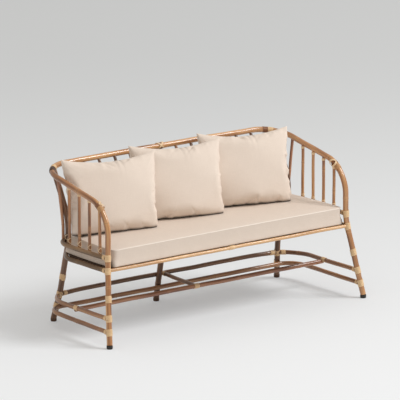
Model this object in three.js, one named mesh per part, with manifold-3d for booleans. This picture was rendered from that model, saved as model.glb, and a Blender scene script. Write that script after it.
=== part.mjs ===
// Rattan garden sofa: a bent-pole frame with loose cushions. Millimetres, Z up, front towards -Y.
import * as THREE from 'three';
import { mergeVertices } from 'three/addons/utils/BufferGeometryUtils.js';
import Module from 'manifold-3d';

const wasm = await Module();
wasm.setup();

// Driving dimensions of the frame. X is measured from the middle, Y from midway between the feet.
const seatHalfWidth = 764;
const footDepthFront = -305;
const footDepthBack = 305;
const seatRailHeight = 374;

// Widths, each from the one that carries it: legs that splay, arms and a back that draw in.
const frontFootSplay = 53;
const backFootInset = 92;
const armDrawIn = 7;
const topRailDrawIn = 3;
const footHalfWidthFront = seatHalfWidth + frontFootSplay;
const footHalfWidthBack = footHalfWidthFront - backFootInset;
const armHalfWidth = seatHalfWidth - armDrawIn;
const topRailHalfWidth = armHalfWidth - topRailDrawIn;

// Depths: the front legs rake in up to the knee, and the top rail overhangs the back feet.
const frontKneeSetback = 86;
const topRailOverhang = 57;
const frontDepth = footDepthFront + frontKneeSetback;
const topRailDepth = footDepthBack + topRailOverhang;

// Heights: the arm base rail over the seat rails, and the arms and top rail over the arm base rail.
const frontKneeRise = 26;
const armBaseRise = 65;
const armRise = 247;
const backRise = 361;
const topCornerDrop = 4;
const frontKneeHeight = seatRailHeight + frontKneeRise;
const armBaseHeight = seatRailHeight + armBaseRise;
const armFrontHeight = armBaseHeight + armRise;
const topRailHeight = armBaseHeight + backRise;
const topCornerHeight = topRailHeight - topCornerDrop;

// Bends of the arm line.
const armFrontRadius = 175;
const backCornerRadius = 155;
const frontKneeRadius = 500;

// Pole radii.
const mainPoleRadius = 14.5;
const backLegRadius = 15;
const railRadius = 11.5;
const frontRailRadius = 9;
const crossRadius = 10;
const spindleRadius = 8;
const postRadius = 8;

// Fits.
const fit = 0.3;
const mergeTolerance = 0.0001;

// Facets: the turn of one step round a bend, and the sides of thick and thin poles.
const bendStepAngle = THREE.MathUtils.degToRad(13);
const thickSides = 12;
const railSides = 10;
const thinSides = 8;
const quarterTurn = Math.PI / 2;

const rattan = new THREE.MeshStandardMaterial({ color: 0xb07a50, roughness: 0.45, metalness: 0 });
const darkRattan = new THREE.MeshStandardMaterial({ color: 0x7a5138, roughness: 0.5, metalness: 0 });
const paleRattan = new THREE.MeshStandardMaterial({ color: 0xe0bd8c, roughness: 0.5, metalness: 0 });
const peel = new THREE.MeshStandardMaterial({ color: 0xe8c89a, roughness: 0.55, metalness: 0 });
const wood = new THREE.MeshStandardMaterial({ color: 0xc9a679, roughness: 0.7, metalness: 0 });
const blackPlastic = new THREE.MeshStandardMaterial({ color: 0x1c1a19, roughness: 0.6, metalness: 0 });
const fabric = new THREE.MeshStandardMaterial({ color: 0xe2d4c4, roughness: 0.95, metalness: 0 });

// Points along a pole: straight between its corners, with each corner [x, y, z, bend radius] rounded.
function bentLine(corners) {
  const at = corners.map(([x, y, z]) => new THREE.Vector3(x, y, z));
  const points = [at[0]];
  for (let i = 1; i < at.length - 1; i += 1) {
    const radius = corners[i][3];
    const arriving = at[i].clone().sub(at[i - 1]).normalize();
    const leaving = at[i + 1].clone().sub(at[i]).normalize();
    const turn = arriving.angleTo(leaving);
    const reach = radius * Math.tan(turn / 2);
    const inward = leaving.clone().sub(arriving).normalize();
    const centre = at[i].clone().addScaledVector(inward, radius / Math.cos(turn / 2));
    const start = at[i].clone().addScaledVector(arriving, -reach);
    const spoke = start.clone().sub(centre);
    const axis = arriving.clone().cross(leaving).normalize();
    const steps = 2 * Math.max(1, Math.round(turn / bendStepAngle / 2));
    for (let k = 0; k <= steps; k += 1) {
      points.push(spoke.clone().applyAxisAngle(axis, turn * k / steps).add(centre));
    }
  }
  points.push(at[at.length - 1]);
  return points;
}

// A curve whose rings fall exactly on the given points.
class PointCurve extends THREE.Curve {
  constructor(points) {
    super();
    this.points = points;
    this.runs = points.slice(1).map((point, i) => point.clone().sub(points[i]).normalize());
  }

  getPoint(t, target = new THREE.Vector3()) {
    const place = t * this.runs.length;
    const i = Math.min(Math.floor(place), this.runs.length - 1);
    return target.copy(this.points[i]).lerp(this.points[i + 1], place - i);
  }

  getPointAt(t, target) {
    return this.getPoint(t, target);
  }

  getTangentAt(t, target = new THREE.Vector3()) {
    const last = this.runs.length - 1;
    const i = Math.round(t * this.runs.length);
    const before = this.runs[Math.max(i - 1, 0)];
    return target.copy(before).add(this.runs[Math.min(i, last)]).normalize();
  }
}

function regularShape(radius, sides) {
  const shape = new THREE.Shape();
  for (let i = 0; i < sides; i += 1) {
    const angle = 2 * Math.PI * i / sides;
    shape[i === 0 ? 'moveTo' : 'lineTo'](radius * Math.cos(angle), radius * Math.sin(angle));
  }
  shape.closePath();
  return shape;
}

function tube(line, radius, sides) {
  return new THREE.ExtrudeGeometry(regularShape(radius, sides), {
    steps: line.length - 1,
    extrudePath: new PointCurve(line),
    bevelEnabled: false,
  });
}

function toSolid(geometry) {
  const bare = geometry.clone();
  bare.deleteAttribute('normal');
  bare.deleteAttribute('uv');
  const merged = mergeVertices(bare, mergeTolerance);
  return new wasm.Manifold(new wasm.Mesh({
    numProp: 3,
    vertProperties: new Float32Array(merged.attributes.position.array),
    triVerts: new Uint32Array(merged.index.array),
  }));
}

function fromSolid(solid) {
  const mesh = solid.getMesh();
  const geometry = new THREE.BufferGeometry();
  geometry.setAttribute('position', new THREE.BufferAttribute(new Float32Array(mesh.vertProperties), 3));
  geometry.setIndex(new THREE.BufferAttribute(new Uint32Array(mesh.triVerts), 1));
  geometry.computeVertexNormals();
  return geometry;
}

function boxSolid(width, depth, height, x, y, z) {
  const box = new THREE.BoxGeometry(width, depth, height);
  box.translate(x, y, z);
  return toSolid(box);
}

const sofa = new THREE.Group();
const frame = new THREE.Group();
const cushions = new THREE.Group();
sofa.add(frame, cushions);

function addPiece(group, name, geometry, material) {
  const mesh = new THREE.Mesh(geometry, material);
  mesh.name = name;
  group.add(mesh);
  return mesh;
}

// Poles by name, so that a neighbour can be coped to them with the fit left open.
const poles = {};

function addPole(name, line, radius, sides, material, cutters = []) {
  poles[name] = { line, radius, sides };
  let geometry = tube(line, radius, sides);
  if (cutters.length > 0) {
    let solid = toSolid(geometry);
    for (const cutter of cutters) {
      solid = solid.subtract(cutter);
    }
    geometry = fromSolid(solid);
  }
  return addPiece(frame, name, geometry, material);
}

function around(name) {
  const pole = poles[name];
  return toSolid(tube(pole.line, pole.radius + fit, pole.sides));
}

// The first point where a line crosses a plane square to X, Y or Z.
function crossing(line, axis, value) {
  for (let i = 1; i < line.length; i += 1) {
    const a = line[i - 1];
    const b = line[i];
    if ((a[axis] - value) * (b[axis] - value) <= 0 && a[axis] !== b[axis]) {
      return a.clone().lerp(b, (value - a[axis]) / (b[axis] - a[axis]));
    }
  }
  throw new Error(`no crossing at ${axis} ${value}`);
}

function mirrored(line) {
  return line.map((point) => new THREE.Vector3(-point.x, point.y, point.z));
}

const sides = [['left', -1], ['right', 1]];

// Foot glides: black caps under the five legs. A leg is sawn level on top of its glide.
const glideHeight = 18;
const glideRadius = 17;
const glideFootRadius = 14.5;
const glideChamfer = 3;
const glideSides = 16;
const sawBlock = 60;

function levelSaw(x, y) {
  return boxSolid(sawBlock, sawBlock, sawBlock, x, y, glideHeight + fit - sawBlock / 2);
}

function addGlide(name, line) {
  const seat = crossing(line, 'z', glideHeight);
  const profile = [[0, 0], [glideFootRadius, 0], [glideRadius, glideChamfer], [glideRadius, glideHeight],
    [0, glideHeight]];
  const geometry = new THREE.LatheGeometry(profile.map(([r, z]) => new THREE.Vector2(r, z)), glideSides);
  geometry.rotateX(quarterTurn);
  geometry.translate(seat.x, seat.y, 0);
  addPiece(frame, name, geometry, blackPlastic);
}

// Arm poles and top rail: one bent line runs up a front leg, over the arm and round the back corner.
// It is cut in the middle of each back corner, where the arm pole is spliced to the top rail.
const rightLine = bentLine([
  [footHalfWidthFront, footDepthFront, 0],
  [seatHalfWidth, frontDepth, frontKneeHeight, frontKneeRadius],
  [armHalfWidth, frontDepth, armFrontHeight, armFrontRadius],
  [topRailHalfWidth, topRailDepth, topCornerHeight, backCornerRadius],
  [0, topRailDepth, topRailHeight],
]);
const cornerCut = backCornerRadius * (1 - Math.cos(quarterTurn / 2));
const splicePlace = new THREE.Vector3(topRailHalfWidth - cornerCut, topRailDepth - cornerCut, topCornerHeight);
const spliceIndex = rightLine.reduce(
  (best, point, i) => (point.distanceTo(splicePlace) < rightLine[best].distanceTo(splicePlace) ? i : best), 0);

// A line that ends in a short straight length, square to the splice, with half the fit left open.
const squareEnd = 4;

function splicedEnd(line, run) {
  const points = line.slice();
  const last = points.pop();
  points.push(last.clone().addScaledVector(run, -squareEnd));
  points.push(last.clone().addScaledVector(run, -fit / 2));
  return points;
}

const spliceRun = rightLine[spliceIndex + 1].clone().sub(rightLine[spliceIndex - 1]).normalize();
const armLine = splicedEnd(rightLine.slice(0, spliceIndex + 1), spliceRun);
for (const [side, sign] of sides) {
  const line = sign > 0 ? armLine : mirrored(armLine);
  addPole(`arm_pole_${side}`, line, mainPoleRadius, thickSides, rattan,
    [levelSaw(sign * footHalfWidthFront, footDepthFront)]);
  addGlide(`foot_glide_front_${side}`, line);
}
const halfRail = splicedEnd(rightLine.slice(spliceIndex).reverse(), spliceRun.clone().negate());
addPole('back_top_rail', [...mirrored(halfRail).reverse(), ...halfRail.slice(1)],
  mainPoleRadius, thickSides, rattan);

// Arm base rail: a hoop round the seat, level with the cushion, which the spindles are lashed to.
const armBaseBulge = 6;
const backRake = 122;
const armBaseHalfWidth = seatHalfWidth + armBaseBulge;
const armBaseDepth = topRailDepth - backRake;
const armBaseSpringShare = 0.2;
const armBaseBowRadius = 400;
const armBaseCornerRadius = 128;
const armBaseStart = crossing(armLine, 'z', armBaseHeight);
const armBaseBowDepth = THREE.MathUtils.lerp(frontDepth, armBaseDepth, armBaseSpringShare);

// Half of the hoop, from the middle of the back to a front leg, or a line that far inside it.
function armBaseLine(inset) {
  return bentLine([
    [0, armBaseDepth - inset, armBaseHeight],
    [armBaseHalfWidth - inset, armBaseDepth - inset, armBaseHeight, armBaseCornerRadius - inset],
    [armBaseHalfWidth - inset, armBaseBowDepth, armBaseHeight, armBaseBowRadius],
    [armBaseStart.x - inset, armBaseStart.y, armBaseHeight],
  ]);
}

const armBaseHalf = armBaseLine(0);
addPole('arm_base_rail', [...mirrored(armBaseHalf).reverse(), ...armBaseHalf.slice(1)], railRadius, railSides,
  rattan, [around('arm_pole_left'), around('arm_pole_right')]);

// Back legs: they rake back and splay below a knee, and end under the arm base rail at the corners.
const backKneeHeight = 156;
const backKneeInset = 23;
const backKneeSetback = 33;
const backKneeRadius = 400;
const legTopMargin = 87;
const legTopInset = 10;
const middleLegOffset = -70;
const backKneeHalfWidth = footHalfWidthBack - backKneeInset;
const backKneeDepth = footDepthBack - backKneeSetback;
const legTopHalfWidth = armBaseHalfWidth - legTopMargin;
const backLegTop = crossing(armBaseLine(legTopInset), 'x', legTopHalfWidth);
const backLegHalf = bentLine([
  [footHalfWidthBack, footDepthBack, 0],
  [backKneeHalfWidth, backKneeDepth, backKneeHeight, backKneeRadius],
  [backLegTop.x, backLegTop.y, armBaseHeight - railRadius - fit],
]);
for (const [side, sign] of sides) {
  const line = sign > 0 ? backLegHalf : mirrored(backLegHalf);
  addPole(`back_leg_${side}`, line, backLegRadius, thickSides, darkRattan,
    [around('arm_base_rail'), levelSaw(sign * footHalfWidthBack, footDepthBack)]);
  addGlide(`foot_glide_back_${side}`, line);
}

// Seat rails: a pale front rail, two side rails that bend in to the back legs, and a back rail.
const frontRailLift = 2;
const sideRailBulge = 8;
const frontRailHeight = seatRailHeight + frontRailLift;
const sideRailHalfWidth = seatHalfWidth + sideRailBulge;
const sideRailBendDepth = 125;
const sideRailBendRadius = 150;
const seatJoint = crossing(armLine, 'z', seatRailHeight);
const frontRailJoint = crossing(armLine, 'z', frontRailHeight);
const backLegAtSeat = crossing(backLegHalf, 'z', seatRailHeight);

// Leg bindings: a strip of peel wound round the front legs over each joint.
const bindingHeights = { seat: seatRailHeight, upper: 144, lower: 77 };
const peelWidth = 5.6;
const peelThickness = 1.3;
const peelGap = 0.7;
const peelStand = 0.95;
const bindingTurns = 5;
const turnSteps = 12;
const sectionCorners = 4;
const sleeveSides = 24;
const bindingInner = mainPoleRadius + peelStand;
const bindingOuter = bindingInner + peelThickness;
const peelPitch = peelWidth + peelGap;
const bindingLength = bindingTurns * peelPitch + peelWidth;

function legPlace(line, height) {
  const centre = crossing(line, 'z', height);
  const below = crossing(line, 'z', height - bindingLength / 2);
  const above = crossing(line, 'z', height + bindingLength / 2);
  return { centre, axis: above.sub(below).normalize() };
}

function placeAlong(geometry, place) {
  const up = new THREE.Vector3(0, 0, 1);
  geometry.applyQuaternion(new THREE.Quaternion().setFromUnitVectors(up, place.axis));
  geometry.translate(place.centre.x, place.centre.y, place.centre.z);
  return geometry;
}

// The room that a binding takes, which the rail that meets the leg there is coped to.
function bindingSleeve(line, height) {
  const radius = bindingOuter + fit;
  const sleeve = new THREE.CylinderGeometry(radius, radius, bindingLength + 2 * fit, sleeveSides);
  sleeve.rotateX(quarterTurn);
  return toSolid(placeAlong(sleeve, legPlace(line, height)));
}

function windingGeometry() {
  const steps = bindingTurns * turnSteps;
  const positions = [];
  const index = [];
  for (let i = 0; i <= steps; i += 1) {
    const angle = 2 * Math.PI * i / turnSteps;
    const z = peelPitch * (i / turnSteps - bindingTurns / 2);
    const section = [[bindingInner, -1], [bindingOuter, -1], [bindingOuter, 1], [bindingInner, 1]];
    for (const [radius, edge] of section) {
      positions.push(radius * Math.cos(angle), radius * Math.sin(angle), z + edge * peelWidth / 2);
    }
  }
  for (let i = 0; i < steps; i += 1) {
    for (let k = 0; k < sectionCorners; k += 1) {
      const a = i * sectionCorners + k;
      const b = i * sectionCorners + (k + 1) % sectionCorners;
      index.push(a, b + sectionCorners, b, a, a + sectionCorners, b + sectionCorners);
    }
  }
  const end = steps * sectionCorners;
  for (let k = 1; k + 1 < sectionCorners; k += 1) {
    index.push(0, k, k + 1);
    index.push(end, end + k + 1, end + k);
  }
  const geometry = new THREE.BufferGeometry();
  geometry.setAttribute('position', new THREE.Float32BufferAttribute(positions, 3));
  geometry.setIndex(index);
  return geometry;
}

// Least gap between points of neighbouring turns, measured along the leg.
function windingGap(geometry) {
  const place = geometry.attributes.position;
  const turn = turnSteps * sectionCorners;
  let least = Infinity;
  for (let i = 0; i + turn < place.count; i += sectionCorners) {
    const topEdge = place.getZ(i + sectionCorners / 2);
    const nextEdge = place.getZ(i + turn);
    least = Math.min(least, nextEdge - topEdge);
  }
  return least;
}

for (const [side, sign] of sides) {
  const line = sign > 0 ? armLine : mirrored(armLine);
  for (const [joint, height] of Object.entries(bindingHeights)) {
    const winding = windingGeometry();
    console.log(`binding_${joint}_${side} least gap between turns ${windingGap(winding).toFixed(3)} mm`);
    const placed = placeAlong(winding, legPlace(line, height));
    placed.computeVertexNormals();
    addPiece(frame, `binding_${joint}_${side}`, placed, peel);
  }
}

function sleeves(height) {
  return [bindingSleeve(armLine, height), bindingSleeve(mirrored(armLine), height)];
}

const frontRailLine = bentLine([
  [-frontRailJoint.x, frontRailJoint.y, frontRailHeight],
  [frontRailJoint.x, frontRailJoint.y, frontRailHeight],
]);
addPole('seat_front_rail', frontRailLine, frontRailRadius, railSides, paleRattan, sleeves(seatRailHeight));

const sideRailHalf = bentLine([
  [seatJoint.x, seatJoint.y, seatRailHeight],
  [sideRailHalfWidth, sideRailBendDepth, seatRailHeight, sideRailBendRadius],
  [backLegAtSeat.x, backLegAtSeat.y, seatRailHeight],
]);
for (const [side, sign] of sides) {
  addPole(`seat_side_rail_${side}`, sign > 0 ? sideRailHalf : mirrored(sideRailHalf), railRadius, railSides,
    rattan, [...sleeves(seatRailHeight), around(`back_leg_${side}`)]);
}

const backRailLine = bentLine([
  [-backLegAtSeat.x, backLegAtSeat.y, seatRailHeight],
  [backLegAtSeat.x, backLegAtSeat.y, seatRailHeight],
]);
addPole('seat_back_rail', backRailLine, railRadius, railSides, darkRattan,
  [around('back_leg_left'), around('back_leg_right')]);

// The middle back leg has the same rake with no sideways splay, and ends under the seat back rail.
const middleLegLine = bentLine([
  [middleLegOffset, footDepthBack, 0],
  [middleLegOffset, backKneeDepth, backKneeHeight, backKneeRadius],
  [middleLegOffset, backLegAtSeat.y, seatRailHeight],
]);
addPole('back_leg_middle', middleLegLine, backLegRadius, thickSides, darkRattan,
  [around('seat_back_rail'), levelSaw(middleLegOffset, footDepthBack)]);
addGlide('foot_glide_back_middle', middleLegLine);

// Upper stretchers: a curved one at each end, and one across the back, notched at the middle leg.
const upperHeight = bindingHeights.upper;
const stretcherInset = 20;
const upperCornerRadius = 180;
const upperCornerInset = 15;
const notchDepth = 8.5;
const bowShare = 0.8;
const bowRadius = 600;
const stretcherHalfWidth = footHalfWidthFront - stretcherInset;
const upperCornerDepth = footDepthBack - upperCornerInset;
const frontLegAtUpper = crossing(armLine, 'z', upperHeight);
const backLegAtUpper = crossing(backLegHalf, 'z', upperHeight);
const upperSideWhole = bentLine([
  [frontLegAtUpper.x, frontLegAtUpper.y, upperHeight],
  [stretcherHalfWidth, upperCornerDepth, upperHeight, upperCornerRadius],
  [0, upperCornerDepth, upperHeight],
]);
const upperSideKept = upperSideWhole.filter((point) => point.x > backLegAtUpper.x && point.y < backLegAtUpper.y);
const upperSideLine = [...upperSideKept, backLegAtUpper];
for (const [side, sign] of sides) {
  addPole(`upper_stretcher_${side}`, sign > 0 ? upperSideLine : mirrored(upperSideLine), railRadius, railSides,
    darkRattan, [...sleeves(upperHeight), around(`back_leg_${side}`)]);
}
const middleLegAtUpper = crossing(middleLegLine, 'z', upperHeight);
const upperBackDepth = middleLegAtUpper.y + backLegRadius + railRadius - notchDepth;
const upperBackLine = bentLine([
  [-backLegAtUpper.x, backLegAtUpper.y, upperHeight],
  [-backLegAtUpper.x * bowShare, upperBackDepth, upperHeight, bowRadius],
  [backLegAtUpper.x * bowShare, upperBackDepth, upperHeight, bowRadius],
  [backLegAtUpper.x, backLegAtUpper.y, upperHeight],
]);
addPole('upper_stretcher_back', upperBackLine, railRadius, railSides, darkRattan,
  [around('back_leg_left'), around('back_leg_right'), around('back_leg_middle')]);

// Lower stretcher: one hoop from front leg to front leg, passing in front of the back legs, where it
// sits a little higher.
const lowerHeight = bindingHeights.lower;
const lowerBackRise = 6;
const lowerBackHeight = lowerHeight + lowerBackRise;
const lowerCornerRadius = 105;
const frontLegAtLower = crossing(armLine, 'z', lowerHeight);
const middleLegAtLower = crossing(middleLegLine, 'z', lowerBackHeight);
const lowerBackDepth = middleLegAtLower.y - backLegRadius - railRadius - fit;
const lowerHalf = bentLine([
  [0, lowerBackDepth, lowerBackHeight],
  [stretcherHalfWidth, lowerBackDepth, lowerBackHeight, lowerCornerRadius],
  [frontLegAtLower.x, frontLegAtLower.y, lowerHeight],
]);
addPole('lower_stretcher', [...mirrored(lowerHalf).reverse(), ...lowerHalf.slice(1)], railRadius, railSides,
  darkRattan, [...sleeves(lowerHeight), around('back_leg_left'), around('back_leg_right'),
    around('back_leg_middle')]);

// Middle stretcher from side to side, lashed on a little below the upper stretchers, and a cross
// stretcher that climbs from it to the back.
const midStretcherDepth = 11;
const midStretcherDrop = 10;
const midStretcherHeight = upperHeight - midStretcherDrop;
const crossOffset = -35;
const midEnd = crossing(upperSideLine, 'y', midStretcherDepth);
const midLine = bentLine([
  [-midEnd.x, midStretcherDepth, midStretcherHeight],
  [midEnd.x, midStretcherDepth, midStretcherHeight],
]);
addPole('mid_stretcher', midLine, railRadius, railSides, darkRattan,
  [around('upper_stretcher_left'), around('upper_stretcher_right')]);
const crossLine = bentLine([
  [crossOffset, midStretcherDepth, midStretcherHeight],
  [crossOffset, upperBackDepth, upperHeight],
]);
addPole('cross_stretcher', crossLine, crossRadius, railSides, darkRattan,
  [around('mid_stretcher'), around('upper_stretcher_back')]);

// Arm spindles: four upright canes under each arm, lashed to the inner face of the arm base rail.
const armSpindleCount = 4;
const firstSpindleSetback = 84;
const lastSpindleReach = 9.5;
const armSpindleFirstDepth = frontDepth + firstSpindleSetback;
const armSpindleLastDepth = armBaseDepth - armBaseCornerRadius + lastSpindleReach;
const armSpindlePitch = (armSpindleLastDepth - armSpindleFirstDepth) / (armSpindleCount - 1);
const lashedInset = railRadius + spindleRadius + fit;
const tailLength = 11;
const armSpindleOffset = armBaseHalfWidth - lashedInset;
for (let i = 0; i < armSpindleCount; i += 1) {
  const depth = armSpindleFirstDepth + i * armSpindlePitch;
  const head = crossing(armLine, 'y', depth);
  const line = bentLine([
    [armSpindleOffset, depth, armBaseHeight - tailLength],
    [armSpindleOffset, depth, head.z],
  ]);
  for (const [side, sign] of sides) {
    addPole(`arm_spindle_${side}_${i + 1}`, sign > 0 ? line : mirrored(line), spindleRadius, thinSides, rattan,
      [around('arm_base_rail'), around(`arm_pole_${side}`)]);
  }
}

// Back canes stand upright at the arm base rail, then rake back from a bend up to the top rail.
const caneStraight = 121;
const rakeRadius = 260;
const wholeTopLine = rightLine.slice().reverse();

function backCaneLine(foot, footHeight, bendHeight, head) {
  return bentLine([
    [foot.x, foot.y, footHeight],
    [foot.x, foot.y, bendHeight, rakeRadius],
    [head.x, head.y, head.z],
  ]);
}

// The corner posts stand on the arm base rail's corners and meet the arms where these start to turn.
const postInset = 29;
const postHeadInset = 150;
const postStraight = 81;
const postLine = backCaneLine(crossing(armBaseHalf, 'x', topRailHalfWidth - postInset), armBaseHeight,
  armBaseHeight + postStraight, crossing(wholeTopLine, 'y', topRailDepth - postHeadInset));
for (const [side, sign] of sides) {
  addPole(`corner_post_${side}`, sign > 0 ? postLine : mirrored(postLine), postRadius, thinSides, rattan,
    [around('arm_base_rail'), around(`arm_pole_${side}`)]);
}

// The other back canes are lashed to the inner face of the arm base rail, one in each corner and a row.
const lashedLine = armBaseLine(lashedInset);

function lashedCaneLine(offset) {
  return backCaneLine(crossing(lashedLine, 'x', offset), armBaseHeight - tailLength,
    armBaseHeight + caneStraight, crossing(wholeTopLine, 'x', offset));
}

const cornerCaneStep = 8;
const cornerCaneLine = lashedCaneLine(topRailHalfWidth - postInset - cornerCaneStep);
for (const [side, sign] of sides) {
  addPole(`corner_cane_${side}`, sign > 0 ? cornerCaneLine : mirrored(cornerCaneLine), spindleRadius,
    thinSides, rattan, [around('arm_base_rail'), around(`arm_pole_${side}`), around('back_top_rail')]);
}

const backSpindleCount = 15;
const backSpindleMargin = 84;
const backSpindlePitch = 2 * (armBaseHalfWidth - backSpindleMargin) / (backSpindleCount - 1);
for (let i = 0; i < backSpindleCount; i += 1) {
  const offset = (i - (backSpindleCount - 1) / 2) * backSpindlePitch;
  const line = lashedCaneLine(Math.abs(offset));
  addPole(`back_spindle_${i + 1}`, offset < 0 ? mirrored(line) : line, spindleRadius, thinSides, rattan,
    [around('arm_base_rail'), around('back_top_rail')]);
}

// Slat deck: wooden slats over three battens, level with the rails, under the seat cushion.
const deckTop = seatRailHeight + railRadius + fit;
const slatCount = 13;
const slatWidth = 60;
const slatThickness = 10;
const battenCount = 3;
const battenWidth = 30;
const battenThickness = 12;
const glueDepth = 1;
const deckSideGap = 14;
const endSlatGap = 2;
const deckFront = frontRailJoint.y + frontRailRadius + fit;
const deckBack = backLegAtSeat.y - railRadius - fit;
const deckDepth = deckBack - deckFront;
const deckLength = 2 * (backLegAtSeat.x - railRadius - deckSideGap);
const slatPitch = (deckLength - slatWidth) / (slatCount - 1);

let deck = null;
for (let i = 0; i < slatCount; i += 1) {
  const x = (i - (slatCount - 1) / 2) * slatPitch;
  const slat = boxSolid(slatWidth, deckDepth, slatThickness, x, (deckFront + deckBack) / 2,
    deckTop - slatThickness / 2);
  deck = deck ? deck.add(slat) : slat;
}

// The outer slats are widened to follow the side rails.
function insetLine(line, inset) {
  return line.map((point, i) => {
    const before = line[Math.max(i - 1, 0)];
    const after = line[Math.min(i + 1, line.length - 1)];
    const along = new THREE.Vector2(after.x - before.x, after.y - before.y).normalize();
    return new THREE.Vector2(point.x - along.y * inset, point.y + along.x * inset);
  });
}

const endSlatLine = insetLine(sideRailHalf, railRadius + endSlatGap);
const endSlatEdge = [
  crossing(endSlatLine, 'y', deckFront),
  ...endSlatLine.filter((point) => point.y > deckFront && point.y < deckBack),
  crossing(endSlatLine, 'y', deckBack),
];
const endSlatInner = deckLength / 2 - glueDepth;
for (const [, sign] of sides) {
  const corners = [new THREE.Vector2(endSlatInner, deckFront), ...endSlatEdge,
    new THREE.Vector2(endSlatInner, deckBack)];
  const shape = new THREE.Shape(corners.map((corner) => new THREE.Vector2(sign * corner.x, corner.y)));
  const board = new THREE.ExtrudeGeometry(shape, { depth: slatThickness, bevelEnabled: false });
  board.translate(0, 0, deckTop - slatThickness);
  deck = deck.add(toSolid(board));
}
for (let i = 0; i < battenCount; i += 1) {
  const share = i / (battenCount - 1);
  const y = THREE.MathUtils.lerp(deckFront + battenWidth / 2, deckBack - battenWidth / 2, share);
  deck = deck.add(boxSolid(deckLength, battenWidth, battenThickness, 0, y,
    deckTop - slatThickness - battenThickness / 2 + glueDepth));
}
for (const name of ['back_leg_left', 'back_leg_middle', 'back_leg_right']) {
  deck = deck.subtract(around(name));
}
for (const sleeve of sleeves(seatRailHeight)) {
  deck = deck.subtract(sleeve);
}
addPiece(frame, 'slat_deck', fromSolid(deck), wood);

// A closed skin over rings of equal length, each end closed with a flat cap.
function ringSkin(rings) {
  const count = rings[0].length;
  const positions = rings.flat().flatMap((point) => [point.x, point.y, point.z]);
  const index = [];
  for (let i = 0; i < rings.length - 1; i += 1) {
    for (let k = 0; k < count; k += 1) {
      const a = i * count + k;
      const b = i * count + (k + 1) % count;
      index.push(a, b, b + count, a, b + count, a + count);
    }
  }
  const flat = (ring) => ring.map((point) => new THREE.Vector2(point.x, point.y));
  const top = (rings.length - 1) * count;
  for (const [a, b, c] of THREE.ShapeUtils.triangulateShape(flat(rings[0]), [])) {
    index.push(a, c, b);
  }
  for (const [a, b, c] of THREE.ShapeUtils.triangulateShape(flat(rings[rings.length - 1]), [])) {
    index.push(top + a, top + b, top + c);
  }
  const geometry = new THREE.BufferGeometry();
  geometry.setAttribute('position', new THREE.Float32BufferAttribute(positions, 3));
  geometry.setIndex(index);
  geometry.computeVertexNormals();
  return geometry;
}

// Seat cushion: a box cushion, narrower at the back, crowned on top and drawn in along its sides.
const seatThickness = 88;
const seatSideGap = 32;
const seatTaper = 26;
const seatFrontOverhang = 5;
const seatBackGap = 16;
const seatFrontHalfWidth = seatHalfWidth - seatSideGap;
const seatBackEdgeHalfWidth = seatFrontHalfWidth - seatTaper;
const seatFrontEdge = frontDepth - seatFrontOverhang;
const seatBackEdge = armBaseDepth - lashedInset - spindleRadius - seatBackGap;
const seatCornerRadius = 34;
const seatCrown = 14;
const seatDrawIn = 4;
const seatEdgeRound = 7;
const seatSidePoints = { long: 10, short: 5, corner: 3 };
const seatBottom = deckTop + fit;
const seatTop = seatBottom + seatThickness;

function seatOutline() {
  const corners = [
    [-seatFrontHalfWidth, seatFrontEdge], [seatFrontHalfWidth, seatFrontEdge],
    [seatBackEdgeHalfWidth, seatBackEdge], [-seatBackEdgeHalfWidth, seatBackEdge],
  ].map(([x, y]) => new THREE.Vector2(x, y));
  const outline = [];
  corners.forEach((corner, i) => {
    const following = corners[(i + 1) % corners.length];
    const before = corners.at(i - 1).clone().sub(corner).normalize();
    const after = following.clone().sub(corner).normalize();
    const start = corner.clone().addScaledVector(before, seatCornerRadius);
    const end = corner.clone().addScaledVector(after, seatCornerRadius);
    for (let k = 0; k <= seatSidePoints.corner; k += 1) {
      const t = k / seatSidePoints.corner;
      const first = start.clone().lerp(corner, t);
      outline.push(first.lerp(corner.clone().lerp(end, t), t));
    }
    const next = following.clone().addScaledVector(after, -seatCornerRadius);
    const inward = new THREE.Vector2(-after.y, after.x);
    const count = i % 2 === 0 ? seatSidePoints.long : seatSidePoints.short;
    for (let k = 1; k < count; k += 1) {
      const t = k / count;
      const draw = seatDrawIn * Math.sin(Math.PI * t);
      outline.push(end.clone().lerp(next, t).addScaledVector(inward, draw));
    }
  });
  return outline;
}

const seatHalfDepth = (seatBackEdge - seatFrontEdge) / 2;
const seatMiddleDepth = (seatBackEdge + seatFrontEdge) / 2;
const seatSpineHalf = seatFrontHalfWidth - seatHalfDepth;

// One level of the cushion: the outline pulled towards the cushion's spine by a distance.
function seatRing(outline, inset, height) {
  return outline.map((point) => {
    const spine = new THREE.Vector2(THREE.MathUtils.clamp(point.x, -seatSpineHalf, seatSpineHalf),
      seatMiddleDepth);
    const inward = spine.clone().sub(point).normalize();
    const place = point.clone().addScaledVector(inward, inset);
    return new THREE.Vector3(place.x, place.y, height);
  });
}

// Each level's inset and rise, as shares of the edge's round and then of the half depth and the crown.
const seatEdgeShares = [[1, 0], [0.3, 0.3], [0, 1]];
const seatCrownShares = [[0.1, 0.4], [0.28, 0.75], [0.55, 0.95], [0.85, 1]];
const seatLine = seatOutline();
const seatRings = [
  ...seatEdgeShares.map(([inset, rise]) => seatRing(seatLine, inset * seatEdgeRound,
    seatBottom + rise * seatEdgeRound)),
  seatRing(seatLine, seatDrawIn / 2, seatBottom + seatThickness / 2),
  ...seatEdgeShares.slice().reverse().map(([inset, rise]) => seatRing(seatLine, inset * seatEdgeRound,
    seatTop - rise * seatEdgeRound)),
  ...seatCrownShares.map(([inset, rise]) => seatRing(seatLine, seatEdgeRound + inset * seatHalfDepth,
    seatTop + rise * seatCrown)),
];
addPiece(cushions, 'seat_cushion', ringSkin(seatRings), fabric);

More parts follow.
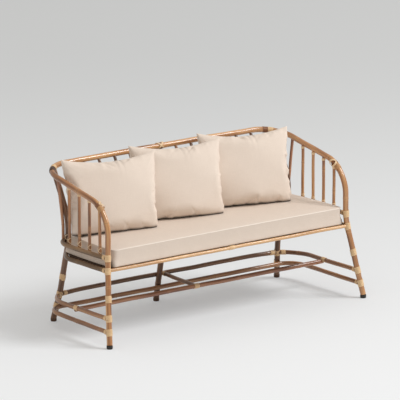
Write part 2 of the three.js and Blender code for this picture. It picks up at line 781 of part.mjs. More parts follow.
// Pillows: square scatter cushions with pointed corners, drawn-in edges and a full crown, which share
// the seat's width between them.
const pillowCount = 3;
const pillowSlack = 2;
const pillowWidth = 2 * seatFrontHalfWidth / pillowCount - pillowSlack;
const pillowHeight = 390;
const pillowThickness = 165;
const pillowDrawIn = 10;
const pillowEdge = 3;
const pillowCells = 14;
const fullnessShare = 0.42;
const pillowSettle = 12;
const pillowRest = seatTop + seatCrown + fit;

function pillowGeometry() {
  const positions = [];
  const index = [];
  const at = new Map();
  const face = (i, k, front) => {
    const onEdge = i === 0 || k === 0 || i === pillowCells || k === pillowCells;
    const key = `${i},${k},${onEdge ? 'edge' : front}`;
    if (!at.has(key)) {
      const u = 2 * i / pillowCells - 1;
      const v = 2 * k / pillowCells - 1;
      const x = (pillowWidth / 2 - pillowDrawIn * (1 - v * v)) * u;
      const z = (pillowHeight / 2 - pillowDrawIn * (1 - u * u)) * v;
      const swell = Math.pow((1 - u * u) * (1 - v * v), fullnessShare);
      const half = onEdge ? 0 : pillowEdge + (pillowThickness / 2 - pillowEdge) * swell;
      at.set(key, positions.length / 3);
      positions.push(x, front ? -half : half, z);
    }
    return at.get(key);
  };
  for (const front of [true, false]) {
    for (let i = 0; i < pillowCells; i += 1) {
      for (let k = 0; k < pillowCells; k += 1) {
        const a = face(i, k, front);
        const b = face(i + 1, k, front);
        const c = face(i + 1, k + 1, front);
        const d = face(i, k + 1, front);
        if (front) {
          index.push(a, b, c, a, c, d);
        } else {
          index.push(a, c, b, a, d, c);
        }
      }
    }
  }
  const geometry = new THREE.BufferGeometry();
  geometry.setAttribute('position', new THREE.Float32BufferAttribute(positions, 3));
  geometry.setIndex(index);
  return geometry;
}

// A pillow's weight flattens whatever would sink into the cushion.
function flattenBelow(geometry, height) {
  const place = geometry.attributes.position;
  for (let i = 0; i < place.count; i += 1) {
    place.setZ(i, Math.max(place.getZ(i), height));
  }
}

// Each pillow leans back and is turned a little, its left edge tucked behind its neighbour.
// Across is a share of the cushion's half width, past is how far the pillow's top reaches past the
// cushion's back edge as a share of its half depth, and turn and lean are in degrees.
const pillowPlaceShares = {
  left: { across: -0.679, past: 0.1117, turn: -13.5, lean: 16 },
  middle: { across: -0.0765, past: 0.303, turn: -15.5, lean: 16 },
  right: { across: 0.526, past: 0.3625, turn: -18, lean: 16 },
};
for (const [name, place] of Object.entries(pillowPlaceShares)) {
  const geometry = pillowGeometry();
  geometry.rotateX(-THREE.MathUtils.degToRad(place.lean));
  geometry.rotateZ(THREE.MathUtils.degToRad(place.turn));
  geometry.computeBoundingBox();
  geometry.translate(place.across * seatFrontHalfWidth,
    seatBackEdge + place.past * seatHalfDepth - geometry.boundingBox.max.y,
    pillowRest - pillowSettle - geometry.boundingBox.min.z);
  flattenBelow(geometry, pillowRest);
  geometry.computeVertexNormals();
  addPiece(cushions, `pillow_${name}`, geometry, fabric);
}

// The origin is the middle of the footprint, on the floor.
sofa.updateMatrixWorld(true);
const whole = new THREE.Box3().setFromObject(sofa, true);
const middle = whole.getCenter(new THREE.Vector3());
sofa.position.set(-middle.x, -middle.y, -whole.min.z);

export default sofa;
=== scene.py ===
# Rattan garden sofa: a bent pole frame bound with peel, a slat deck, a box cushion and three pillows.
# Metres, Z up, front towards -Y. The script runs from top to bottom, one piece after another.
import math

import bpy
from mathutils import Matrix, Vector, noise


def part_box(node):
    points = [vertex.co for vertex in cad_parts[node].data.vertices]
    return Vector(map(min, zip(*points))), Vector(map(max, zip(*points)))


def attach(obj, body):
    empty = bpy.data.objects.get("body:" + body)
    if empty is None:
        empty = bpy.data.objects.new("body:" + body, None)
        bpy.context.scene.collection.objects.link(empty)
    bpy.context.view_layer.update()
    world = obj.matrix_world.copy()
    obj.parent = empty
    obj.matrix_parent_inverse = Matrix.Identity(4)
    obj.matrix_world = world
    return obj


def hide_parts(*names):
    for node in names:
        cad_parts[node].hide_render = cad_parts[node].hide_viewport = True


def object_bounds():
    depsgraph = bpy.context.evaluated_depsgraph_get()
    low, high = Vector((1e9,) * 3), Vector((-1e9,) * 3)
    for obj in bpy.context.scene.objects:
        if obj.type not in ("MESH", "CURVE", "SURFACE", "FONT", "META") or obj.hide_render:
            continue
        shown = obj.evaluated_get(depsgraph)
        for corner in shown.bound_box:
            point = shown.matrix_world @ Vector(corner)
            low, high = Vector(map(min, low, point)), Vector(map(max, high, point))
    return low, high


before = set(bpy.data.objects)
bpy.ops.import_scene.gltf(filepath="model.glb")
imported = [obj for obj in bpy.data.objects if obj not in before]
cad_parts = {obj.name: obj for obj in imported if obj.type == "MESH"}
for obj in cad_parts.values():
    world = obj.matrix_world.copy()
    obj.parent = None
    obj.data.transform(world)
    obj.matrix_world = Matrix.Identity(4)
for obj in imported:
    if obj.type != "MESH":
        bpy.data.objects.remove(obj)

cad_low, cad_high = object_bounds()
scene = bpy.context.scene


# Camera: in front of the sofa and to its left, far back with a long lens, and looking down a little.
view_heading = math.radians(37.541)
view_tilt = math.radians(76.226)


def new_object(name, data):
    """A mesh, camera or lamp as an object of the scene."""
    made = bpy.data.objects.new(name, data)
    scene.collection.objects.link(made)
    return made


camera_data = bpy.data.cameras.new("camera")
camera_data.lens = 450
camera_data.clip_end = 60
camera = new_object("camera", camera_data)
camera.location = (-15.0666, -19.6134, 6.6398)
camera.rotation_euler = (view_tilt, 0, -view_heading)
scene.camera = camera
scene.view_settings.view_transform = "Standard"


# Floor and light: a pale seamless floor, darker far away, under one wide soft lamp and an even sky.
# The floor is only the stage.
class Wire:
    """A socket of a node tree. Sums on it add Math nodes, and node() adds any other kind of node."""

    def __init__(self, tree, socket=None):
        self.tree = tree
        self.socket = socket

    def node(self, kind, settings=None, values=None):
        made = self.tree.nodes.new(kind)
        for name, value in (settings or {}).items():
            if name == "stops":
                ramp = made.color_ramp
                while len(ramp.elements) < len(value):
                    ramp.elements.new(1)
                for element, (place, color) in zip(ramp.elements, value):
                    element.position = place
                    element.color = color
            else:
                setattr(made, name, value)
        for name, value in (values or {}).items():
            if isinstance(value, Wire):
                self.tree.links.new(value.socket, made.inputs[name])
            else:
                made.inputs[name].default_value = value
        shown = [output for output in made.outputs if output.enabled]
        return Wire(self.tree, shown[0] if shown else None)

    def other(self, name):
        return Wire(self.tree, self.socket.node.outputs[name])

    def math(self, operation, *values):
        return self.node("ShaderNodeMath", {"operation": operation}, dict(enumerate(values)))

    def vector(self, operation, *values):
        return self.node("ShaderNodeVectorMath", {"operation": operation}, dict(enumerate(values)))

    def scaled(self, share):
        return self.node("ShaderNodeVectorMath", {"operation": "SCALE"}, {0: self, "Scale": share})

    def __add__(self, other):
        return self.math("ADD", self, other)

    def __sub__(self, other):
        return self.math("SUBTRACT", self, other)

    def __rsub__(self, other):
        return self.math("SUBTRACT", other, self)

    def __mul__(self, other):
        return self.math("MULTIPLY", self, other)

    def __truediv__(self, other):
        return self.math("DIVIDE", self, other)

    __radd__ = __add__
    __rmul__ = __mul__


def new_material(name):
    """A material with an empty tree, and the Wire that starts it."""
    made = bpy.data.materials.new(name)
    made.use_nodes = True
    made.node_tree.nodes.clear()
    return made, Wire(made.node_tree)


def finish_material(start, surface):
    start.node("ShaderNodeOutputMaterial", {}, {"Surface": surface})


def principled(start, values):
    return start.node("ShaderNodeBsdfPrincipled", {}, values)


def plain_color(value):
    """An sRGB colour, 0 to 255 a channel, as the linear colour that a socket takes."""
    def linear(channel):
        share = channel / 255
        return share / 12.92 if share <= 0.04045 else ((share + 0.055) / 1.055) ** 2.4
    return (*(linear(channel) for channel in value), 1)


def mix_colors(start, share, first, second):
    return start.node("ShaderNodeMix", {"data_type": "RGBA"}, {0: share, 6: first, 7: second})


def object_place(start):
    return start.node("ShaderNodeTexCoord").other("Object")


floor_near = plain_color((241, 243, 245))
floor_far = plain_color((208, 210, 211))
floor_glow = 0.32
floor_half = 40
floor_heading = math.radians(37.5)
floor_run = Vector((math.sin(floor_heading), math.cos(floor_heading), 0))
floor_near_run = -2.6
floor_far_run = 6.5

floor_finish, start = new_material("studio_floor")
run = start.vector("DOT_PRODUCT", object_place(start), floor_run).other("Value")
share = start.node("ShaderNodeMapRange", {"interpolation_type": "SMOOTHSTEP"},
                   {"Value": run, "From Min": floor_near_run, "From Max": floor_far_run})
color = mix_colors(start, share, floor_near, floor_far)
matt = principled(start, {"Base Color": color, "Roughness": 0.9, "Specular IOR Level": 0.1})
glow = start.node("ShaderNodeEmission", {}, {"Color": color, "Strength": 1.0})
seen = start.node("ShaderNodeLightPath").other("Is Camera Ray")
finish_material(start, start.node("ShaderNodeMixShader", {}, {0: seen * floor_glow, 1: matt, 2: glow}))
floor_mesh = bpy.data.meshes.new("studio_floor")
floor_mesh.from_pydata([(x * floor_half, y * floor_half, 0) for x, y in ((-1, -1), (1, -1), (1, 1), (-1, 1))],
                       [], [(0, 1, 2, 3)])
floor_mesh.materials.append(floor_finish)
floor = new_object("studio_floor", floor_mesh)

sky = bpy.data.worlds.new("sky")
sky.use_nodes = True
daylight = sky.node_tree.nodes["Background"].inputs
daylight["Color"].default_value = (1, 0.955, 0.895, 1)
daylight["Strength"].default_value = 0.58
scene.world = sky

lamp_place = Vector((10.2, -9.0, 14.4))
lamp_data = bpy.data.lights.new("soft_lamp", "AREA")
lamp_data.shape = "DISK"
lamp_data.size = 7.5
lamp_data.energy = 2360
lamp_data.color = (0.985, 0.99, 1)
lamp = new_object("soft_lamp", lamp_data)
lamp.location = lamp_place
lamp.rotation_euler = (-lamp_place).to_track_quat("-Z", "Y").to_euler()


# Frame poles: peeled rattan, bent with steam, nailed at the joints and lacquered. Each is grown along its
# centre line by one Geometry Nodes tree, which swells it at its knots and lets it wander a little.
pole_radius = 0.0145
leg_radius = 0.015
rail_radius = 0.0115
front_rail_radius = 0.009
cross_radius = 0.010
spindle_radius = 0.008
arc_step = math.radians(3)

seat_half_width = 0.764
seat_rail_height = 0.374
foot_depth = 0.305
front_foot_half_width = seat_half_width + 0.053
back_foot_half_width = front_foot_half_width - 0.092
arm_half_width = seat_half_width - 0.007
top_half_width = arm_half_width - 0.003
knee_depth = -foot_depth + 0.086
knee_height = seat_rail_height + 0.026
top_rail_depth = foot_depth + 0.057
arm_base_height = seat_rail_height + 0.065
arm_front_height = arm_base_height + 0.247
top_rail_height = arm_base_height + 0.361
top_corner_height = top_rail_height - 0.004

# The frame's origin is the middle of the whole footprint, and depths here are from midway between the feet.
feet_middle = cad_high.y - top_rail_depth - pole_radius


def bent_line(corners):
    """Points along a pole, straight between its corners, each corner (x, y, z, bend radius) rounded."""
    at = [Vector((x, y + feet_middle, z)) for x, y, z, *_ in corners]
    points = [at[0]]
    for before, corner, after, (*_, radius) in zip(at, at[1:], at[2:], corners[1:]):
        arriving = (corner - before).normalized()
        leaving = (after - corner).normalized()
        turn = arriving.angle(leaving)
        centre = corner + (leaving - arriving).normalized() * radius / math.cos(turn / 2)
        spoke = corner - arriving * radius * math.tan(turn / 2) - centre
        axis = arriving.cross(leaving).normalized()
        steps = max(2, round(turn / arc_step))
        for k in range(steps + 1):
            points.append(centre + Matrix.Rotation(turn * k / steps, 3, axis) @ spoke)
    return points + [at[-1]]


def mirrored(line):
    return [Vector((-point.x, point.y, point.z)) for point in line]


def crossing(line, axis, value):
    """The first point where a line crosses a plane square to X, Y or Z (axis 0, 1 or 2)."""
    for a, b in zip(line, line[1:]):
        if (a[axis] - value) * (b[axis] - value) <= 0 and a[axis] != b[axis]:
            return a.lerp(b, (value - a[axis]) / (b[axis] - a[axis]))
    raise ValueError(f"no crossing at {value} on axis {axis}")


def corner_of(point, height=None, radius=0):
    """A point of one line as a corner of another."""
    return (point.x, point.y - feet_middle, point.z if height is None else height, radius)


def new_tree(name, sockets):
    """A Geometry Nodes tree with a geometry in and out and these named inputs, and the Wire of its inputs."""
    tree = bpy.data.node_groups.new(name, "GeometryNodeTree")
    tree.is_modifier = True
    tree.interface.new_socket("Geometry", in_out="OUTPUT", socket_type="NodeSocketGeometry")
    tree.interface.new_socket("Geometry", in_out="INPUT", socket_type="NodeSocketGeometry")
    for socket, kind in sockets.items():
        tree.interface.new_socket(socket, in_out="INPUT", socket_type=f"NodeSocket{kind}")
    return tree, Wire(tree).node("NodeGroupInput")


def end_tree(start, geometry, material):
    whole = start.node("GeometryNodeRealizeInstances", {}, {"Geometry": geometry})
    smooth = start.node("GeometryNodeSetShadeSmooth", {}, {"Geometry": whole})
    painted = start.node("GeometryNodeSetMaterial", {}, {"Geometry": smooth, "Material": material})
    start.node("NodeGroupOutput", {}, {"Geometry": painted})


def plain_mesh(made):
    """What an object's modifiers make of it, as a mesh of its own. The object goes."""
    deps = bpy.context.evaluated_depsgraph_get()
    mesh = bpy.data.meshes.new_from_object(made.evaluated_get(deps), preserve_all_data_layers=True,
                                           depsgraph=deps)
    bpy.data.objects.remove(made)
    return mesh


def grown(name, tree, base, values):
    """The plain mesh that a tree makes of a base mesh, its modifier's inputs set by their identifiers."""
    maker = new_object("maker", base)
    step = maker.modifiers.new("grow", "NODES")
    step.node_group = tree
    for item in tree.interface.items_tree:
        if item.in_out == "INPUT" and item.name in values:
            step[item.identifier] = values[item.name]
    mesh = plain_mesh(maker)
    mesh.name = name
    return mesh


def line_mesh(lines, vectors=None, numbers=None):
    """Lines as one mesh of edges, with any vector or number that their points carry."""
    mesh = bpy.data.meshes.new("lines")
    points = [point for line in lines for point in line]
    edges = []
    first = 0
    for line in lines:
        edges += [(first + i, first + i + 1) for i in range(len(line) - 1)]
        first += len(line)
    mesh.from_pydata(points, edges, [])
    for name, values in (vectors or {}).items():
        layer = mesh.attributes.new(name, "FLOAT_VECTOR", "POINT")
        layer.data.foreach_set("vector", [c for value in values for c in value])
    for name, values in (numbers or {}).items():
        layer = mesh.attributes.new(name, "FLOAT", "POINT")
        layer.data.foreach_set("value", values)
    return mesh


def curve_in(start):
    """The lines that a tree is given, as curves."""
    return start.node("GeometryNodeMeshToCurve", {}, {"Mesh": start.other("Geometry")})


def evenly(start, curve, step):
    """A curve with its points this far apart."""
    return start.node("GeometryNodeResampleCurve", {"mode": "LENGTH"}, {"Curve": curve, "Length": step})


def stored(start, geometry, name, value, kind="FLOAT_VECTOR"):
    """A geometry whose points carry a value under a name."""
    return start.node("GeometryNodeStoreNamedAttribute", {"data_type": kind, "domain": "POINT"},
                      {"Geometry": geometry, "Name": name, "Value": value})


def drift(start, along, scale, detail):
    """Chance changes along a cane, about 0.5, the slower the smaller the scale."""
    return start.node("ShaderNodeTexNoise", {"noise_dimensions": "1D"},
                      {"W": along, "Scale": scale, "Detail": detail})


knot_spacing = 0.21
knot_drift = 0.9
knot_drift_scale = 1.7
knot_width = 0.006
knot_swell = 0.055
girth_change = 0.05
girth_scale = 9.0
wander = 0.0016
wander_scale = 4.5


def knot_distance(start, along):
    """How far a point of a cane is from its nearest knot, in metres, knots being unevenly spaced."""
    phase = along / knot_spacing + drift(start, along, knot_drift_scale, 0.0) * knot_drift
    return start.math("ABSOLUTE", start.math("FRACT", phase) - 0.5) * knot_spacing


def bell(start, distance, width):
    """A hump of height 1 at distance 0, that falls away over a width."""
    ratio = distance / width
    return start.math("EXPONENT", ratio * ratio * -1.0)


cane_tree, start = new_tree("cane", {"Radius": "Float", "Sides": "Int", "Step": "Float", "Seed": "Float",
                                     "Material": "Material"})
curve = evenly(start, curve_in(start), start.other("Step"))
along = start.node("GeometryNodeSplineParameter").other("Length") + start.other("Seed")
curve = stored(start, curve, "along", along, "FLOAT")
drifting = drift(start, along, wander_scale, 1.0).other("Color")
offset = start.vector("SUBTRACT", drifting, (0.5, 0.5, 0.5)).scaled(2 * wander)
curve = start.node("GeometryNodeSetPosition", {}, {"Geometry": curve, "Offset": offset})
girth = drift(start, along, girth_scale, 1.0)
swell = bell(start, knot_distance(start, along), knot_width) * knot_swell
profile = start.node("GeometryNodeCurvePrimitiveCircle", {},
                     {"Resolution": start.other("Sides"), "Radius": start.other("Radius")})
profile = stored(start, profile, "spoke", start.node("GeometryNodeInputPosition"))
skin = start.node("GeometryNodeCurveToMesh", {}, {
    "Curve": curve, "Profile Curve": profile, "Fill Caps": True,
    "Scale": 1.0 + swell + (girth - 0.5) * girth_change})
end_tree(start, skin, start.other("Material"))


def carried(start, name, output="Fac"):
    """What the points of a piece carry under a name."""
    return start.node("ShaderNodeAttribute", {"attribute_name": name}).other(output)


def flecks(start, place, scale, detail, **more):
    """Noise in space, about 0.5."""
    return start.node("ShaderNodeTexNoise", {}, {"Vector": place, "Scale": scale, "Detail": detail, **more})


def ramp(start, share, stops):
    return start.node("ShaderNodeValToRGB", {"stops": stops}, {"Fac": share})


def bumps(start, strength, depth, height):
    return start.node("ShaderNodeBump", {}, {"Strength": strength, "Distance": depth, "Height": height})


knot_ring_width = 0.0013
knot_lip_width = 0.011


def cane_finish(name, tones, gloss):
    """Lacquered rattan: long fine streaks, slow changes of tone, a dark ring with a pale lip at each knot."""
    finish, start = new_material(name)
    along = carried(start, "along")

    def grain(along_scale, round_scale, detail, **more):
        """Noise on the cane's skin, drawn out along it."""
        run = start.node("ShaderNodeCombineXYZ", {}, {"Z": along * along_scale})
        spoke = start.vector("MULTIPLY", carried(start, "spoke", "Vector"), (round_scale, round_scale, 0))
        return flecks(start, start.vector("ADD", run, spoke), 1.0, detail, **more)

    streaks = grain(6.0, 420, 4.0, Roughness=0.6)
    slow = grain(3.1, 45, 2.0)
    dark, middle, light = (plain_color(tone) for tone in tones)
    tone = ramp(start, slow * 0.65 + streaks * 0.35, [(0.36, dark), (0.5, middle), (0.66, light)])
    streak_share = start.node("ShaderNodeMapRange", {}, {
        "Value": streaks, "From Min": 0.4, "From Max": 0.7, "To Min": 0.0, "To Max": 0.4})
    color = mix_colors(start, streak_share, tone, dark)
    distance = knot_distance(start, along)
    ring = bell(start, distance, knot_ring_width)
    color = mix_colors(start, bell(start, distance, knot_lip_width) * 0.22, color, light)
    color = mix_colors(start, ring * 0.6, color, dark)
    finish_material(start, principled(start, {
        "Base Color": color, "Roughness": 0.5 - gloss * 0.22 + streaks * 0.12,
        "Normal": bumps(start, 0.35, 0.0006, streaks * 0.25 - ring * 0.9),
        "Coat Weight": gloss * 0.85, "Coat Roughness": 0.14, "Specular IOR Level": 0.5}))
    return finish


# Each batch of cane has a slot name from the record, which nothing here reads, its material's name, its tones
# and its gloss.
cane_batches = {
    "pole": ("rattan_pole", "lacquered_rattan", ((100, 58, 28), (176, 117, 68), (234, 182, 122)), 0.9),
    "honey": ("rattan_pole", "honey_rattan", ((112, 66, 32), (188, 130, 80), (240, 190, 132)), 0.9),
    # The top rail's lighter tones are painted light, for the light that falls along it from above.
    "light": ("rattan_pole", "top_rail_rattan", ((130, 80, 42), (202, 146, 92), (242, 196, 140)), 0.9),
    "red": ("rattan_dark", "red_brown_rattan", ((108, 64, 40), (160, 104, 70), (204, 148, 106)), 0.8),
    "mid": ("rattan_dark", "mid_brown_rattan", ((98, 60, 34), (152, 102, 64), (200, 148, 102)), 0.8),
    "grey": ("rattan_pole", "grey_brown_rattan", ((76, 54, 32), (126, 94, 60), (170, 132, 88)), 0.45),
    # The dark cane is partly the darker cane of the back legs, rails and stretchers, and partly painted shade
    # on the back spindles, under the top rail.
    "dark": ("rattan_dark", "dark_rattan", ((78, 50, 32), (126, 88, 60), (172, 126, 90)), 0.7),
    "pale": ("rattan_pale", "pale_rattan", ((176, 128, 82), (210, 164, 114), (232, 192, 144)), 0.6),
}
cane_finishes = {batch: cane_finish(*finish) for batch, (_, *finish) in cane_batches.items()}
pole_sides, pole_step = 20, 0.005
rail_sides = 16
spindle_sides, spindle_step = 12, 0.006
seed = 0.0
seed_step = 7.3


def add_cane(node, line, radius, batch, sides=pole_sides, step=pole_step):
    """A pole grown along a line, which stands for the CAD node of that name."""
    global seed
    seed += seed_step
    mesh = grown(node, cane_tree, line_mesh([line]), {
        "Radius": radius, "Sides": sides, "Step": step, "Seed": seed, "Material": cane_finishes[batch]})
    pole = new_object(f"{node}_cane", mesh)
    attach(pole, "root")
    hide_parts(node)


def add_rail(node, line, batch, radius=rail_radius):
    add_cane(node, line, radius, batch, rail_sides)


def add_spindle(node, line, batch):
    add_cane(node, line, spindle_radius, batch, spindle_sides, spindle_step)


# Arm poles and top rail: one line runs up a front leg, over the arm and round the back corner, where the
# arm pole is spliced to the top rail.
front_knee_radius = 0.5
arm_front_radius = 0.175
back_corner_radius = 0.155
whole_line = bent_line([
    (front_foot_half_width, -foot_depth, 0),
    (seat_half_width, knee_depth, knee_height, front_knee_radius),
    (arm_half_width, knee_depth, arm_front_height, arm_front_radius),
    (top_half_width, top_rail_depth, top_corner_height, back_corner_radius),
    (0, top_rail_depth, top_rail_height),
])
glide_height = 0.018
corner_cut = back_corner_radius * (1 - math.cos(math.pi / 4))
splice = Vector((top_half_width - corner_cut, top_rail_depth + feet_middle - corner_cut, top_corner_height))
splice_at = min(range(len(whole_line)), key=lambda i: (whole_line[i] - splice).length)
arm_line = whole_line[:splice_at + 1]
half_rail = whole_line[splice_at:]
top_rail_line = mirrored(half_rail) + half_rail[-2::-1]
sides = (("left", mirrored), ("right", list))


def above_glide(line):
    """A leg's line from the top of its glide up."""
    return [crossing(line, 2, glide_height)] + [point for point in line if point.z > glide_height]


for side, turned in sides:
    batch = "pole" if side == "left" else "honey"
    add_cane(f"arm_pole_{side}", above_glide(turned(arm_line)), pole_radius, batch)
# The top rail takes lighter tones as painted light, for the light that falls on it from above.
add_cane("back_top_rail", top_rail_line, pole_radius, "light")


# Arm base rail: one pole of rattan bent with steam into a hoop round the seat, level with the cushion. It is
# nailed to the front legs and on top of the back ones, and the spindles are lashed to it.
arm_base_half_width = seat_half_width + 0.006
arm_base_depth = top_rail_depth - 0.122
arm_base_bow_depth = knee_depth + (arm_base_depth - knee_depth) * 0.2
arm_base_corner_radius = 0.128
arm_base_bow_radius = 0.4
arm_base_start = crossing(arm_line, 2, arm_base_height)


def arm_base_line(inset):
    """Half of the hoop, from the middle of the back to a front leg, or a line that far inside it."""
    return bent_line([
        (0, arm_base_depth - inset, arm_base_height),
        (arm_base_half_width - inset, arm_base_depth - inset, arm_base_height,
         arm_base_corner_radius - inset),
        (arm_base_half_width - inset, arm_base_bow_depth, arm_base_height, arm_base_bow_radius),
        (arm_base_start.x - inset, arm_base_start.y - feet_middle, arm_base_height),
    ])


arm_base_half = arm_base_line(0)
add_rail("arm_base_rail", mirrored(arm_base_half)[::-1] + arm_base_half[1:], "grey")


# Back legs: one thick rattan pole at each side, bent with steam to rake back and splay below a knee. They
# end under the arm base rail, nailed to it.
back_knee = (back_foot_half_width - 0.023, foot_depth - 0.033, 0.156, 0.4)
leg_top_inset = 0.010
leg_top_from_end = 0.087
leg_top = crossing(arm_base_line(leg_top_inset), 0, arm_base_half_width - leg_top_from_end)
back_leg_line = bent_line([
    (back_foot_half_width, foot_depth, 0), back_knee, corner_of(leg_top, arm_base_height - rail_radius)])
for side, turned in sides:
    add_cane(f"back_leg_{side}", above_glide(turned(back_leg_line)), leg_radius, "dark")


# Seat rails: a slender pale cane in front, two side rails that bend in to the back legs, and a back rail
# with a middle leg nailed under it. The deck lies between them.
seat_joint = crossing(arm_line, 2, seat_rail_height)
front_rail_height = seat_rail_height + 0.002
front_joint = crossing(arm_line, 2, front_rail_height)
leg_at_seat = crossing(back_leg_line, 2, seat_rail_height)
side_rail_bend = (seat_half_width + 0.008, 0.125, seat_rail_height, 0.15)
middle_leg_x = -0.070
front_rail_line = [Vector((-front_joint.x, front_joint.y, front_rail_height)),
                   Vector((front_joint.x, front_joint.y, front_rail_height))]
add_rail("seat_front_rail", front_rail_line, "pale", front_rail_radius)
side_rail_line = bent_line([corner_of(seat_joint), side_rail_bend, corner_of(leg_at_seat)])
for side, turned in sides:
    add_rail(f"seat_side_rail_{side}", turned(side_rail_line), "grey")
add_rail("seat_back_rail", [Vector((-leg_at_seat.x, leg_at_seat.y, seat_rail_height)), leg_at_seat], "dark")
middle_leg_line = bent_line([
    (middle_leg_x, foot_depth, 0), (middle_leg_x, *back_knee[1:]),
    (middle_leg_x, leg_at_seat.y - feet_middle, seat_rail_height)])
add_cane("back_leg_middle", above_glide(middle_leg_line), leg_radius, "dark")


# Stretchers: thin rattan poles that brace the legs, nailed and bound to them. Curved ones at the ends and one
# across the back are level, a hoop runs below them, a middle one is lashed a little below the ends' level,
# and a cross one climbs from it to the back.
upper_height = 0.144
mid_height = upper_height - 0.010
lower_height = 0.077
lower_back_height = lower_height + 0.006
stretcher_half_width = front_foot_half_width - 0.020
upper_corner_depth = foot_depth - 0.015
upper_corner_radius = 0.18
lower_corner_radius = 0.105
front_at_upper = crossing(arm_line, 2, upper_height)
back_at_upper = crossing(back_leg_line, 2, upper_height)
upper_whole = bent_line([
    corner_of(front_at_upper), (stretcher_half_width, upper_corner_depth, upper_height, upper_corner_radius),
    (0, upper_corner_depth, upper_height)])
upper_side_line = [point for point in upper_whole if point.x > back_at_upper.x and point.y < back_at_upper.y]
upper_side_line.append(back_at_upper)
for side, turned in sides:
    add_rail(f"upper_stretcher_{side}", turned(upper_side_line), "mid")
nailed_in = 0.0085
bow_share = 0.8
bow_radius = 0.6
upper_back_depth = (crossing(middle_leg_line, 2, upper_height).y - feet_middle + leg_radius + rail_radius
                    - nailed_in)
upper_back_line = bent_line([
    corner_of(Vector((-back_at_upper.x, back_at_upper.y, upper_height))),
    (-back_at_upper.x * bow_share, upper_back_depth, upper_height, bow_radius),
    (back_at_upper.x * bow_share, upper_back_depth, upper_height, bow_radius),
    corner_of(back_at_upper),
])
add_rail("upper_stretcher_back", upper_back_line, "dark")
lower_back_depth = crossing(middle_leg_line, 2, lower_back_height).y - feet_middle - leg_radius - rail_radius
lower_half = bent_line([
    (0, lower_back_depth, lower_back_height),
    (stretcher_half_width, lower_back_depth, lower_back_height, lower_corner_radius),
    corner_of(crossing(arm_line, 2, lower_height)),
])
add_rail("lower_stretcher", mirrored(lower_half)[::-1] + lower_half[1:], "mid")
mid_depth = 0.011
cross_x = -0.035
mid_end = crossing(upper_side_line, 1, mid_depth + feet_middle)
mid_line = [Vector((sign * mid_end.x, mid_end.y, mid_height)) for sign in (-1, 1)]
add_rail("mid_stretcher", mid_line, "red")
cross_line = bent_line([(cross_x, mid_depth, mid_height), (cross_x, upper_back_depth, upper_height)])
add_rail("cross_stretcher", cross_line, "dark", cross_radius)


# Spindles: slender canes, four under each arm, a post and a cane in each back corner and 15 along the back.
# The posts stand on the arm base rail and the others are lashed inside it. All are nailed up into the arm or
# the top rail.
lashed_inset = rail_radius + spindle_radius
tail = 0.011
rake_radius = 0.26
arm_spindle_count = 4
arm_spindle_first = knee_depth + 0.084
arm_spindle_last = arm_base_depth - arm_base_corner_radius + 0.0095
arm_spindle_lines = []
for i in range(arm_spindle_count):
    depth = arm_spindle_first + (arm_spindle_last - arm_spindle_first) * i / (arm_spindle_count - 1)
    head = crossing(arm_line, 1, depth + feet_middle)
    line = bent_line([(arm_base_half_width - lashed_inset, depth, arm_base_height - tail),
                      (arm_base_half_width - lashed_inset, depth, head.z)])
    arm_spindle_lines.append(line)
    for side, turned in sides:
        add_spindle(f"arm_spindle_{side}_{i + 1}", turned(line), "pole")

top_line = whole_line[::-1]


def back_cane_line(foot, foot_height, straight, head):
    """A cane that stands upright over its foot, then rakes back to its head."""
    return bent_line([corner_of(foot, foot_height), corner_of(foot, arm_base_height + straight, rake_radius),
                      corner_of(head)])


post_inset = 0.029
post_straight = 0.081
post_head_forward = 0.150
post_foot = crossing(arm_base_half, 0, top_half_width - post_inset)
post_head = crossing(top_line, 1, top_rail_depth - post_head_forward + feet_middle)
post_line = back_cane_line(post_foot, arm_base_height, post_straight, post_head)
cane_straight = 0.121
lashed_line = arm_base_line(lashed_inset)


def lashed_cane_line(offset):
    return back_cane_line(crossing(lashed_line, 0, offset), arm_base_height - tail, cane_straight,
                          crossing(top_line, 0, offset))


corner_cane_shift = 0.008
corner_cane_line = lashed_cane_line(top_half_width - post_inset - corner_cane_shift)
for side, turned in sides:
    add_spindle(f"corner_post_{side}", turned(post_line), "red")
    add_spindle(f"corner_cane_{side}", turned(corner_cane_line), "dark")
# The back spindles take the dark cane partly as painted shade, for the shadow of the top rail and the pillows
# on them.
back_spindle_count = 15
back_spindle_margin = 0.084
back_spindle_pitch = 2 * (arm_base_half_width - back_spindle_margin) / (back_spindle_count - 1)
back_spindle_lines = []
for i in range(back_spindle_count):
    offset = (i - (back_spindle_count - 1) / 2) * back_spindle_pitch
    line = lashed_cane_line(abs(offset))
    back_spindle_lines.append(mirrored(line) if offset < 0 else line)
    add_spindle(f"back_spindle_{i + 1}", back_spindle_lines[-1], "dark")


# Bindings: pale rattan peel, soaked and wound tight round a joint, turn against turn, its ends tucked in
# and tacked. The front legs have five each, and the rails and stretchers are bound where they meet a leg.
peel_width = 0.0056
peel_thickness = 0.0012
peel_pitch = 0.0059
peel_phase = 0.4
peel_stand = 0.0004
turn_steps = 20
stretch_steps = 6


def peel_finish(name, tones):
    """Rattan peel: a smooth skin with fine fibres, and a little tone from place to place."""
    finish, start = new_material(name)
    place = object_place(start)
    fibres = flecks(start, start.vector("MULTIPLY", place, (60, 60, 900)), 1.0, 3.0)
    patches = flecks(start, place, 38.0, 1.0)
    dark, light = (plain_color(tone) for tone in tones)
    finish_material(start, principled(start, {
        "Base Color": mix_colors(start, fibres * 0.5 + patches * 0.5, dark, light),
        "Roughness": 0.42 + fibres * 0.12, "Normal": bumps(start, 0.3, 0.0004, fibres),
        "Coat Weight": 0.2, "Coat Roughness": 0.25}))
    return finish


pale_peel = peel_finish("pale_peel", ((206, 164, 114), (246, 216, 172)))
dark_peel = peel_finish("dark_peel", ((46, 26, 16), (84, 50, 32)))
